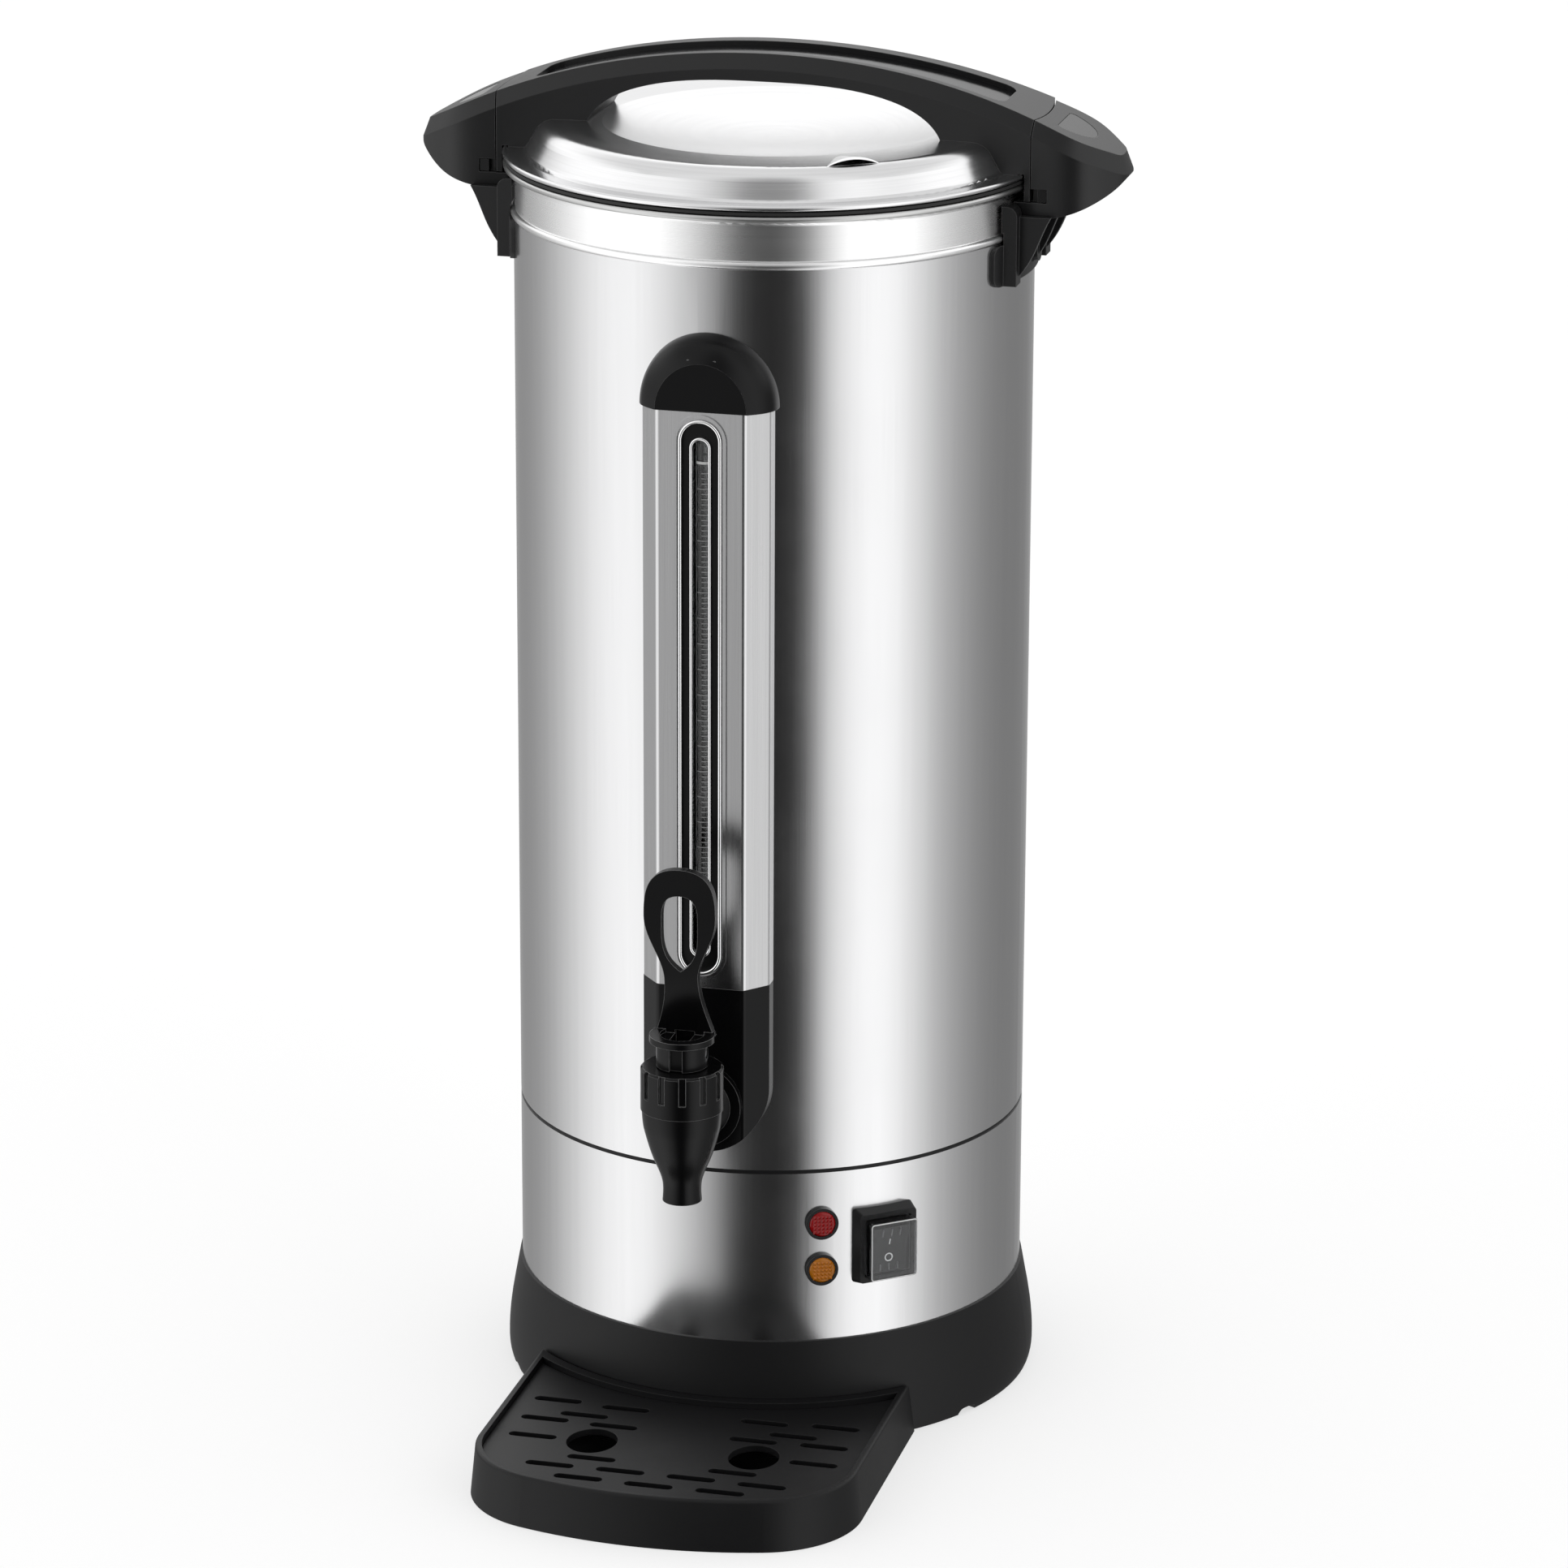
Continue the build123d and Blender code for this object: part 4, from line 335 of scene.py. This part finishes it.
# %% [markdown]
# Hands and cloths leave slow patches that are a little duller than the rest. They could be painted
# one by one, but noise cut at two levels gives patches with soft edges on every piece.

# %% Handling marks
patch_noise = {"Detail": 5.0, "Roughness": 0.62}
patch_start = 0.42  # level of the noise where a patch begins, and where it is full
patch_full = 0.68

handling, given, result = new_group(
    "handling marks",
    [("Patches per metre", "Float", 14.0), ("Dull", "Float", 0.05)],
    [("Roughness change", "Float"), ("Mask", "Float")],
)
patch_size = {"Vector": object_place(handling), "Scale": given["Patches per metre"]}
patches = add_node(handling, "ShaderNodeTexNoise", **patch_size, **patch_noise)
mask = remap(handling, patches.outputs["Fac"], patch_start, patch_full)
handling.links.new(maths(handling, "MULTIPLY", mask, given["Dull"]), result["Roughness change"])
handling.links.new(mask, result["Mask"])
print("group made:", handling.name)

# %% [markdown]
# The sharp edges of a moulding are rounded by a few tenths of a millimetre. This mask finds them where a
# rounded normal leaves the true one, so no edge has to be modelled. The mouldings use it for a painted
# highlight: a lighter base colour along their edges.

# %% Mask for painted edge highlights
edge_samples = 6
edge_start = 0.015  # how far the rounded normal turns away where the edge begins, and where it is full
edge_full = 0.16

painted_edge_mask, given, result = new_group("painted edge highlight mask", [("Radius", "Float", 0.0003)], [("Mask", "Float")])
bevel = {"samples": edge_samples}
rounded = add_node(painted_edge_mask, "ShaderNodeBevel", bevel, Radius=given["Radius"]).outputs[0]
straight = add_node(painted_edge_mask, "ShaderNodeNewGeometry").outputs["Normal"]
agree = add_node(painted_edge_mask, "ShaderNodeVectorMath", {"operation": "DOT_PRODUCT"}, i0=rounded, i1=straight)
turned_away = maths(painted_edge_mask, "SUBTRACT", 1.0, agree.outputs["Value"])
painted_edge_mask.links.new(remap(painted_edge_mask, turned_away, edge_start, edge_full), result["Mask"])
print("shader groups:", [group.name for group in bpy.data.node_groups])

# %% [markdown]
# ## Finishes
# One function starts every material with a Principled shader, since that is the shader that other
# programs understand. Each finish then links in what changes over its surface: a little colour,
# roughness, and height through a Bump node. Numbers that stay the same all over sit on the
# shader's own sockets.

# %% Start of a material
bevel_samples = 4


def start_material(name, colour, **sockets):
    """Material with a Principled shader of one base colour; gives the material, tree and shader."""
    made = bpy.data.materials.new(name)
    made.use_nodes = True
    tree = made.node_tree
    tree.nodes.clear()
    shader = add_node(tree, "ShaderNodeBsdfPrincipled", Base_Color=(*colour, 1), **sockets)
    add_node(tree, "ShaderNodeOutputMaterial", Surface=shader.outputs[0])
    made.diffuse_color = (*colour, 1)
    return made, tree, shader


def use_group(tree, group, **values):
    """Place a group in a material with its own values; gives back its outputs."""
    return add_node(tree, "ShaderNodeGroup", {"node_tree": group}, **values).outputs


def tint(tree, shader, mask, colour, spread):
    """Base colour that runs by a mask from a little darker to a little lighter than a colour."""
    dark = tuple(v * (1 - spread) for v in colour)
    light = tuple(min(1, v * (1 + spread)) for v in colour)
    tree.links.new(mix_colour(tree, mask, (*dark, 1), (*light, 1)), shader.inputs["Base Color"])


def rough(tree, shader, base, *changes):
    """Roughness as a base value plus linked changes."""
    total = base
    for change in changes:
        total = maths(tree, "ADD", change, total, clamp=True)
    tree.links.new(total, shader.inputs["Roughness"])


def bumped(tree, shader, height, depth, edge=0.0):
    """Surface height in metres; edge is the radius of a soft edge in metres, if there is one."""
    bump = add_node(tree, "ShaderNodeBump", Height=height, Distance=depth, Strength=1.0)
    if edge:
        soft = add_node(tree, "ShaderNodeBevel", {"samples": bevel_samples}, Radius=edge).outputs[0]
        tree.links.new(soft, bump.inputs["Normal"])
    tree.links.new(bump.outputs[0], shader.inputs["Normal"])


print("finish helpers ready")

# %% [markdown]
# ### Stainless steel
# The shell is drawn sheet with a fine satin polish that runs up and down. The lid is turned on a
# spindle, so its lines run round. The collar and the rolled edges are polished bright. All of them
# are one function with other numbers, because only the lines and the polish differ.

# %% Steel finishes


def steel(name, colour, roughness, fineness, line_depth, round_body=True, tone=0.05, dull=0.03, **sockets):
    """Brushed or polished steel. Fineness counts lines per metre round, out and up."""
    made, tree, shader = start_material(name, colour, Metallic=1.0, **sockets)
    if round_body:
        where = use_group(tree, round_metres, Radius=body_radius * MM)["Vector"]
    else:
        where = object_place(tree)
    lines = use_group(tree, brushed_lines, Vector=where, Fineness=fineness)
    marks = use_group(tree, handling, Dull=dull)
    tint(tree, shader, lines["Tone"], colour, tone)
    grain = maths(tree, "MULTIPLY", maths(tree, "SUBTRACT", lines["Tone"], 0.5), tone)
    rough(tree, shader, roughness, marks["Roughness change"], grain)
    bumped(tree, shader, lines["Height"], line_depth)
    return made


shell_steel = steel(
    "satin shell steel", (0.68, 0.68, 0.685), roughness=0.17, fineness=(2600, 60, 14), line_depth=0.000004
)
gauge_steel = steel(
    "brushed gauge steel",
    (0.64, 0.64, 0.645),
    roughness=0.24,
    fineness=(3800, 3800, 16),
    line_depth=0.000010,
    round_body=False,
    tone=0.12,
)
lid_steel = steel(
    "turned lid steel",
    (0.77, 0.77, 0.775),
    roughness=0.17,
    fineness=(24, 2600, 2600),
    line_depth=0.000008,
    tone=0.12,
    Anisotropic=0.4,
)
bead_steel = steel(
    "polished bead steel",
    (0.93, 0.93, 0.93),
    roughness=0.22,
    fineness=(600, 600, 600),
    line_depth=0.000001,
    round_body=False,
    tone=0.02,
)
collar_steel = steel(
    "polished collar steel",
    (0.95, 0.95, 0.95),
    roughness=0.27,
    fineness=(20, 2200, 2200),
    line_depth=0.000004,
    tone=0.06,
)
tank_steel = steel(
    "plain tank steel",
    (0.58, 0.58, 0.575),
    roughness=0.28,
    fineness=(20, 1500, 1500),
    line_depth=0.000006,
    tone=0.08,
    dull=0.08,
)
plated_steel = steel(
    "plated screw steel",
    (0.52, 0.52, 0.53),
    roughness=0.30,
    fineness=(900, 900, 900),
    line_depth=0.000006,
    round_body=False,
    tone=0.1,
)
cast_aluminium = steel(
    "cast aluminium",
    (0.50, 0.50, 0.51),
    roughness=0.48,
    fineness=(500, 500, 500),
    line_depth=0.00003,
    round_body=False,
    tone=0.1,
)
print("steels made:", [m.name for m in bpy.data.materials if "steel" in m.name])

# %% [markdown]
# ### Plastics and rubber
# The mouldings are black plastic in three grades: dull for the base and the tray, satin for the
# handles and smooth for the tap and the gauge's ends. The strip on the arch, the small inserts on
# the grips and the rocker come from a polished mould. How bright a black looks depends more on its
# shine than on its colour, so each grade has its own Specular level. Soft edges of a few tenths of
# a millimetre catch the light, as on any moulding.

# %% Plastic finishes


def moulding(name, colour, roughness, grains, depth, edge=0.0003, edge_highlight_grey=0.0, cloud=0.15, dull=0.06, **sockets):
    """Moulded plastic or rubber with pebble grain, slow colour change and a painted highlight along its
    edges.
    """
    made, tree, shader = start_material(name, colour, **sockets)
    grain = use_group(tree, moulded_grain, Grains_per_metre=grains)
    marks = use_group(tree, handling, Dull=dull)
    tint(tree, shader, grain["Tone"], colour, cloud)
    # Painted highlight: along sharp edges the base colour is mixed towards a light grey, so the edges look
    # lit.
    if edge_highlight_grey:
        clouded = shader.inputs["Base Color"].links[0].from_socket
        mask = use_group(tree, painted_edge_mask, Radius=edge)["Mask"]
        tree.links.new(mix_colour(tree, mask, clouded, grey(edge_highlight_grey)), shader.inputs["Base Color"])
    rough(tree, shader, roughness, marks["Roughness change"])
    bumped(tree, shader, grain["Height"], depth, edge=edge)
    return made


base_moulding = moulding(
    "base moulding",
    (0.0065, 0.0065, 0.007),
    roughness=0.42,
    grains=2600,
    depth=0.000012,
    edge_highlight_grey=0.03,
    Specular_IOR_Level=0.25,
)
handle_moulding = moulding(
    "handle moulding",
    (0.009, 0.009, 0.0095),
    roughness=0.36,
    grains=2600,
    depth=0.000010,
    edge=0.0005,
    edge_highlight_grey=0.07,
    Specular_IOR_Level=0.42,
)
tap_moulding = moulding(
    "tap moulding",
    (0.003, 0.003, 0.0033),
    roughness=0.24,
    grains=1800,
    depth=0.000002,
    edge_highlight_grey=0.30,
    Specular_IOR_Level=0.2,
)
gloss_mould = {"grains": 900, "depth": 0.000001, "dull": 0.04}  # a polished mould
black_gloss = moulding(
    "black gloss moulding",
    (0.006, 0.006, 0.0065),
    roughness=0.12,
    edge=0.0002,
    edge_highlight_grey=0.12,
    Specular_IOR_Level=0.3,
    **gloss_mould,
)
# Painted highlight: the ribs are the rocker's own black plastic, given a lighter grey so that they read as
# lit lines.
rib_highlight_gloss = moulding("rib gloss, painted highlight", (0.14, 0.14, 0.145), roughness=0.15, edge=0.0001, **gloss_mould)
black_rubber = moulding("black rubber", (0.014, 0.014, 0.014), roughness=0.55, grains=3000, depth=0.00002)
pale_silicone = moulding("pale silicone", (0.55, 0.54, 0.50), roughness=0.45, grains=1800, depth=0.00001)
pale_ceramic = moulding("pale ceramic", (0.72, 0.70, 0.64), roughness=0.40, grains=2500, depth=0.00002)
scale_black = moulding(
    "scale black",
    (0.003, 0.003, 0.003),
    roughness=0.30,
    grains=1200,
    depth=0.000002,
    edge=0.0,
    Specular_IOR_Level=0.25,
)
print_ink = {"roughness": 0.45, "grains": 3000, "depth": 0.000001, "edge": 0.0, "cloud": 0.03}
print_white = moulding("printed white", (0.80, 0.80, 0.79), **print_ink)
print_grey = moulding("printed grey", (0.34, 0.34, 0.34), **print_ink)
print("finishes so far:", len(bpy.data.materials))

# %% [markdown]
# ### Glass, lenses and the clear cover
# The gauge glass, the lamp lenses and the cover over the switch let light through. Each keeps a
# plain Transmission Weight. The lenses are dyed through, so their base colour is the dye, and the
# pyramids on them scatter most of the light, so little of it goes straight on.

# %% Clear finishes
flow_marks = 60.0  # per metre
flow_dull = 0.05
flow_depth = 0.00001


def clear_material(name, colour, roughness, ior, transmission=1.0, **sockets):
    """See-through material with faint flow marks from moulding or drawing."""
    made, tree, shader = start_material(
        name, colour, Roughness=roughness, IOR=ior, Transmission_Weight=transmission, **sockets
    )
    marks = use_group(tree, handling, Patches_per_metre=flow_marks, Dull=flow_dull)
    rough(tree, shader, roughness, marks["Roughness change"])
    bumped(tree, shader, marks["Mask"], flow_depth)
    return made


dyed_lens = {"roughness": 0.12, "ior": 1.50, "transmission": 0.25, "Specular_IOR_Level": 0.3}
gauge_glass = clear_material("gauge glass", (0.95, 0.96, 0.96), roughness=0.02, ior=1.47)
red_lens = clear_material("red lens", (0.42, 0.006, 0.008), **dyed_lens)
amber_lens = clear_material("amber lens", (0.66, 0.22, 0.012), **dyed_lens)
soft_cover = clear_material(
    "clear soft cover", (0.93, 0.94, 0.95), roughness=0.05, ior=1.40, Specular_IOR_Level=0.15
)
# Painted highlight: the cover's edge bead is near white and mostly opaque, so it reads as a lit edge.
cover_edge_highlight = clear_material(
    "cover edge, painted highlight", (0.95, 0.95, 0.95), roughness=0.25, ior=1.40, transmission=0.15
)
print("finishes in all:", len(bpy.data.materials))

# %% [markdown]
# ## Dressing the pieces
# The record of the CAD model names a material slot for each piece. A short table says which finish
# each piece gets here, and one loop gives it out.

# %% Finishes for the pieces
finish_of = {
    shell_steel: "outer_shell control_band",
    gauge_steel: "gauge_cover",
    lid_steel: "lid_shell",
    collar_steel: "collar gauge_bezel",
    tank_steel: "inner_tank pump_tube coffee_basket basket_lid",
    base_moulding: "base_skirt seam_ring drip_tray drip_grille power_inlet thermal_cutout switch_bezel",
    handle_moulding: "lid_handle side_handle_right side_handle_left",
    tap_moulding: "gauge_cap tap_plate tap_body tap_bonnet tap_lever tap_nut valve_stem",
    black_gloss: "lamp_bezels switch_rocker reset_button handle_inlay thumb_inlays lid_catches",
    black_rubber: "rubber_feet lid_seal",
    pale_silicone: "gauge_seals seat_cup tap_washers",
    scale_black: "scale_plate",
    gauge_glass: "gauge_tube",
    red_lens: "lamp_heating",
    amber_lens: "lamp_warm",
    soft_cover: "switch_cover",
    plated_steel: "bottom_plate bottom_screws gauge_fittings gauge_nuts tap_spring lever_pin "
    "inlet_screws inlet_pins reset_nut lid_screws handle_screws",
    cast_aluminium: "heating_element",
    pale_ceramic: "thermostat terminal_block",
}
dressed = []
for finish, names in finish_of.items():
    for name in names.split():
        for slot in urn_nodes[name].material_slots:
            slot.material = finish
        dressed.append(name)
print("dressed", len(dressed), "of", len(urn_nodes), "pieces; left:", sorted(set(urn_nodes) - set(dressed)))

# %% [markdown]
# ## Mesh helpers
# The details are too small and too regular to be worth a tool's clicks, so they are meshes written
# point by point. A piece of detail rides on the body that carries it, so that it moves when the
# body does. Most of them sit on the front of the urn, so one helper gives a flat local frame on the
# round wall, in millimetres.

# %% Mesh helpers


def mesh_piece(name, points, faces, finish, body="urn", smooth=False):
    """Object from points in metres and faces of point numbers; it rides on a body."""
    mesh = bpy.data.meshes.new(name)
    mesh.from_pydata([tuple(point) for point in points], [], faces)
    shell = bmesh.new()
    shell.from_mesh(mesh)
    bmesh.ops.recalc_face_normals(shell, faces=shell.faces)
    shell.to_mesh(mesh)
    shell.free()
    mesh.polygons.foreach_set("use_smooth", [smooth] * len(mesh.polygons))
    mesh.materials.append(finish)
    made = bpy.data.objects.new(name, mesh)
    bpy.context.collection.objects.link(made)
    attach(made, body)


def ring_strip(rings, closed=True):
    """Points and faces of a skin over rings of equally many points; an open one gets two ends."""
    points = [point for ring in rings for point in ring]
    wide = len(rings[0])
    count = len(rings)
    faces = []
    for a in range(count if closed else count - 1):
        b = (a + 1) % count
        for c in range(wide):
            d = (c + 1) % wide
            faces.append((a * wide + c, b * wide + c, b * wide + d, a * wide + d))
    if not closed:
        faces.append(tuple(range(wide)))
        faces.append(tuple((count - 1) * wide + c for c in range(wide)))
    return points, faces


def join_parts(parts):
    """Several (points, faces) pairs as one."""
    points, faces = [], []
    for more_points, more_faces in parts:
        start = len(points)
        points += more_points
        faces += [tuple(corner + start for corner in face) for face in more_faces]
    return points, faces


def wall_frame(angle, height, radius=body_radius):
    """Matrix on the round wall: x to the right, y up, z outward, all in millimetres."""
    turn = radians(angle)
    right = Vector((cos(turn), sin(turn), 0))
    outward = Vector((sin(turn), -cos(turn), 0))
    place = outward * radius * MM + Vector((0, 0, height * MM))
    return Matrix((
        (right.x * MM, 0, outward.x * MM, place.x),
        (right.y * MM, 0, outward.y * MM, place.y),
        (0, MM, 0, place.z),
        (0, 0, 0, 1),
    ))


print("mesh helpers ready")

# %% [markdown]
# ## Level gauge
# Two bright beads run round the gauge: one round the window of the steel cover and one round the
# glass. A curve with a bevel would do, but it is round all over; a bead that lies on a face is half
# round, so its section is swept along the path here.

# %% Gauge beads
window_round = 7.1  # radius of the window's ends
window_ends = (204.0, 404.5)  # centres of the window's round ends
window_spread = 0.6  # middle of the bead outside the window's edge
window_section = (1.3, 0.5)  # width and height of the bead
glass_inset = 0.5  # middle of the bead inside the bezel's edge
glass_section = (1.1, 0.4)
bead_steps = 6


def bead_on_path(name, path, section, frame_at, finish):
    """Half-round bead along a closed path of (x, y, outward x, outward y) in a local frame."""
    width, height = section
    rings = []
    for x, y, nx, ny in path:
        ring = []
        for step in range(bead_steps + 1):
            swing = pi * step / bead_steps
            across = width / 2 * cos(swing)
            ring.append(frame_at @ Vector((x + nx * across, y + ny * across, height * sin(swing))))
        ring.append(frame_at @ Vector((x - nx * width / 4, y - ny * width / 4, -height / 2)))
        rings.append(ring)
    points, faces = ring_strip(rings)
    mesh_piece(name, points, faces, finish, smooth=True)
    print(name, "made,", len(rings), "steps along its path")


def slot_path(half, low, high, steps=24):
    """Upright slot with round ends whose centres lie at low and high."""
    path = []
    for centre, start in ((high, 0.0), (low, pi)):
        for step in range(steps + 1):
            swing = start + pi * step / steps
            path.append((half * cos(swing), centre + half * sin(swing), cos(swing), sin(swing)))
    return path


gauge_low, gauge_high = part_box("gauge_cover")
bezel_low, bezel_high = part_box("gauge_bezel")
bezel_half = (bezel_high[0] - bezel_low[0]) / 2 / MM
bezel_ends = (bezel_low[2] / MM + bezel_half, bezel_high[2] / MM - bezel_half)
cover_face = wall_frame(0, 0, -gauge_low[1] / MM)
bezel_face = wall_frame(0, 0, -bezel_low[1] / MM)
window_path = slot_path(window_round + window_spread, *window_ends)
glass_path = slot_path(bezel_half - glass_inset, *bezel_ends)
bead_on_path("window_bead", window_path, window_section, cover_face, bead_steel)
bead_on_path("glass_bead", glass_path, glass_section, bezel_face, bead_steel)

# %% [markdown]
# A thin black sheet lies on the shell behind the glass, so that the glass shows dark there. It is curved to
# the shell, as a strip of film would be.

# %% Dark sheet behind the gauge glass
dark_sheet_half = 9.0
dark_sheet_out = 100.7  # from the urn's axis
dark_sheet_thin = 0.4
dark_sheet_steps = 8

section = (
    (0, gauge_low[2]),
    (0, gauge_high[2]),
    (dark_sheet_thin, gauge_high[2]),
    (dark_sheet_thin, gauge_low[2]),
)
rings = []
for step in range(dark_sheet_steps + 1):
    x = dark_sheet_half * (2 * step / dark_sheet_steps - 1)
    rings.append([(x * MM, -(((dark_sheet_out + out) ** 2 - x**2) ** 0.5) * MM, z) for out, z in section])
points, faces = ring_strip(rings, closed=False)
mesh_piece("gauge_dark_sheet", points, faces, scale_black)
print("dark_sheet", 2 * dark_sheet_half, "mm wide")

# %% [markdown]
# The glass carries a fine printed scale without figures: a short mark every two millimetres, a
# longer one every ten, and one white bar for the highest level. An image would blur close up, so
# each mark is a thin raised strip that follows the round glass.

# %% Gauge scale
mark_step = 2.0
mark_thick = 0.35
mark_sunk = 0.02  # both faces of a mark, out from the glass
mark_raise = 0.05
mark_margin = 9.0  # from the ends of the scale to the centres of the bezel's round ends
mark_right = 38  # where a mark starts and ends, in degrees from the front
mark_left = -2
long_left = -28
long_every = 5
top_left = -34
top_gap = 2  # steps between the last mark and the bar
top_thick = 1.0
mark_steps = 4

glass_low, glass_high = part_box("gauge_tube")
glass_radius = (glass_high[0] - glass_low[0]) / 2 / MM
glass_axis = (glass_low[1] + glass_high[1]) / 2 / MM


def glass_mark(height, start, thick):
    """Printed mark on the front of the glass from an angle to its right end."""
    rings = []
    for step in range(mark_steps + 1):
        swing = radians(start + (mark_right - start) * step / mark_steps)
        ring = []
        for reach, z in ((mark_sunk, -0.5), (mark_sunk, 0.5), (mark_raise, 0.5), (mark_raise, -0.5)):
            radius = glass_radius + reach
            spot = (radius * sin(swing), glass_axis - radius * cos(swing), height + z * thick)
            ring.append(Vector(spot) * MM)
        rings.append(ring)
    return ring_strip(rings, closed=False)


lowest = bezel_ends[0] + mark_margin
mark_count = int((bezel_ends[1] - lowest - mark_margin) / mark_step)
marks = []
for number in range(mark_count + 1):
    start = mark_left if number % long_every else long_left
    marks.append(glass_mark(lowest + number * mark_step, start, mark_thick))
points, faces = join_parts(marks)
mesh_piece("glass_scale", points, faces, print_grey)
points, faces = glass_mark(lowest + (mark_count + top_gap) * mark_step, top_left, top_thick)
mesh_piece("top_mark", points, faces, print_white)
print("gauge scale:", mark_count + 1, "marks")

# %% [markdown]
# ## Lamps
# A lamp lens is moulded with rows of small pyramids inside a plain rim. They scatter the light, so
# the lamp is seen from all sides, and give the lens its cross-hatched look. A bump map would look
# flat at the rim of the lens, so they are real pyramids with a narrow groove between them.

# %% Lamp lenses
lamp_angle = 25.3  # round from the tap
lens_out = 2.35  # face of the lens out from the shell
pyramid_pitch = 1.5
pyramid_height = 0.55
pyramid_reach = 4.3
groove_half = 0.02


def waffle(frame_at):
    """Pyramids over a round field; gives points and faces."""
    parts = []
    rows = int(pyramid_reach / pyramid_pitch) + 1
    half = pyramid_pitch / 2 - groove_half
    for row in range(-rows, rows + 1):
        for column in range(-rows, rows + 1):
            x, y = column * pyramid_pitch, row * pyramid_pitch
            if x * x + y * y > pyramid_reach**2:
                continue
            foot = [(x - half, y - half), (x + half, y - half), (x + half, y + half), (x - half, y + half)]
            points = [frame_at @ Vector((a, b, 0)) for a, b in foot]
            points.append(frame_at @ Vector((x, y, pyramid_height)))
            parts.append((points, [(3, 2, 1, 0), (0, 1, 4), (1, 2, 4), (2, 3, 4), (3, 0, 4)]))
    return join_parts(parts)


for name, finish in (("lamp_heating", red_lens), ("lamp_warm", amber_lens)):
    low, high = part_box(name)
    lens_frame = wall_frame(lamp_angle, (low[2] + high[2]) / 2 / MM, body_radius + lens_out)
    points, faces = waffle(lens_frame)
    mesh_piece(name + "_waffle", points, faces, finish)
    print(name, "waffle:", len(faces), "faces")

# %% [markdown]
# ## Power switch
# The rocker is a shallow valley: its lower half faces straight out at rest and its upper half leans.
# A frame on each half places what is printed and moulded there, and all of it rides on the rocker.
# First come the usual two signs, a ring for off on the lower half and a bar for on upon the upper
# half. They are standard signs and not lettering.

# %% Switch signs
switch_angle = 39.7  # round from the tap
pivot_out = 1.5  # the rocker's axis out from the shell
rocker_face = 3.7  # its two faces out from the axis
half_throw = radians(9)
sign_raise = 0.06
ring_spot = -4.0
ring_outer = 1.75
ring_inner = 1.25
ring_steps = 36
bar_low = (-0.25, 1.6)
bar_high = (0.25, 4.2)
bar_slope = 0.02
foot_sunk = 0.1  # of a bar, below the face that it stands on


def raised_bar(frame_at, low, high, height, slope):
    """Bar between two corners (x, y) of its foot, with sloping sides; gives points and faces."""
    points = []
    for level, shrink in ((-foot_sunk, 0.0), (height, slope)):
        left, right = low[0] + shrink, high[0] - shrink
        bottom, top = low[1] + shrink, high[1] - shrink
        for x, y in ((left, bottom), (right, bottom), (right, top), (left, top)):
            points.append(frame_at @ Vector((x, y, level)))
    faces = [(3, 2, 1, 0), (4, 5, 6, 7)] + [(a, (a + 1) % 4, (a + 1) % 4 + 4, a + 4) for a in range(4)]
    return points, faces


switch_low, switch_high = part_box("switch_bezel")
switch_height = (switch_low[2] + switch_high[2]) / 2 / MM
valley = (0, -rocker_face * sin(half_throw), rocker_face * cos(half_throw) + pivot_out)
lower_face = wall_frame(switch_angle, switch_height) @ Matrix.Translation(valley)
upper_face = lower_face @ Matrix.Rotation(2 * half_throw, 4, "X")
section = ((ring_inner, 0.0), (ring_inner, sign_raise), (ring_outer, sign_raise), (ring_outer, 0.0))
rings = []
for step in range(ring_steps):
    swing = 2 * pi * step / ring_steps
    spots = [(radius * cos(swing), ring_spot + radius * sin(swing), out) for radius, out in section]
    rings.append([lower_face @ Vector(spot) for spot in spots])
points, faces = ring_strip(rings)
mesh_piece("off_ring", points, faces, print_white, "rocker")
points, faces = raised_bar(upper_face, bar_low, bar_high, sign_raise, bar_slope)
mesh_piece("on_bar", points, faces, print_white, "rocker")
print("switch signs made at", round(switch_height, 2), "mm")

# %% [markdown]
# Three short ribs near each end of the rocker give the finger a hold. They are moulded with it, so
# their sides slope a little, as the mould needs.

# %% Rocker ribs
rib_places = (-3.7, 0.0, 3.7)
rib_wide = 0.7
rib_high = 0.45
rib_slope = 0.15
upper_ends = (5.6, 9.2)
lower_ends = (-9.4, -6.4)

ribs = []
for x in rib_places:
    for face, (start, end) in ((upper_face, upper_ends), (lower_face, lower_ends)):
        ribs.append(raised_bar(face, (x - rib_wide / 2, start), (x + rib_wide / 2, end), rib_high, rib_slope))
points, faces = join_parts(ribs)
# The ribs' lighter grey is a painted highlight.
mesh_piece("rocker_ribs", points, faces, rib_highlight_gloss, "rocker")
print("rocker:", len(ribs), "ribs made")

# %% [markdown]
# A soft clear cover keeps water out of the switch. Clear plastic hardly shows against steel, so a thin
# near-white bead runs round its face as a painted highlight of its edge.

# %% Cover edge
cover_half_wide = 10.0
cover_out = 10.5  # face of the cover out from the shell
bead_sunk = 0.15
edge_inset = 0.35
edge_corner = 1.0
edge_section = (0.5, 0.22)


def round_box_path(half_wide, half_tall, corner, steps=8):
    """Rectangle with round corners, about the local origin."""
    path = []
    for x, y, start in ((1, 1, 0.0), (-1, 1, pi / 2), (-1, -1, pi), (1, -1, 1.5 * pi)):
        for step in range(steps + 1):
            swing = start + pi / 2 * step / steps
            across = x * (half_wide - corner) + corner * cos(swing)
            along = y * (half_tall - corner) + corner * sin(swing)
            path.append((across, along, cos(swing), sin(swing)))
    return path


cover_low, cover_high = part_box("switch_cover")
cover_half_tall = (cover_high[2] - cover_low[2]) / 2 / MM
cover_height = (cover_low[2] + cover_high[2]) / 2 / MM
cover_front = wall_frame(switch_angle, cover_height, body_radius + cover_out - bead_sunk)
edge_path = round_box_path(cover_half_wide - edge_inset, cover_half_tall - edge_inset, edge_corner)
bead_on_path("cover_edge_highlight", edge_path, edge_section, cover_front, cover_edge_highlight)
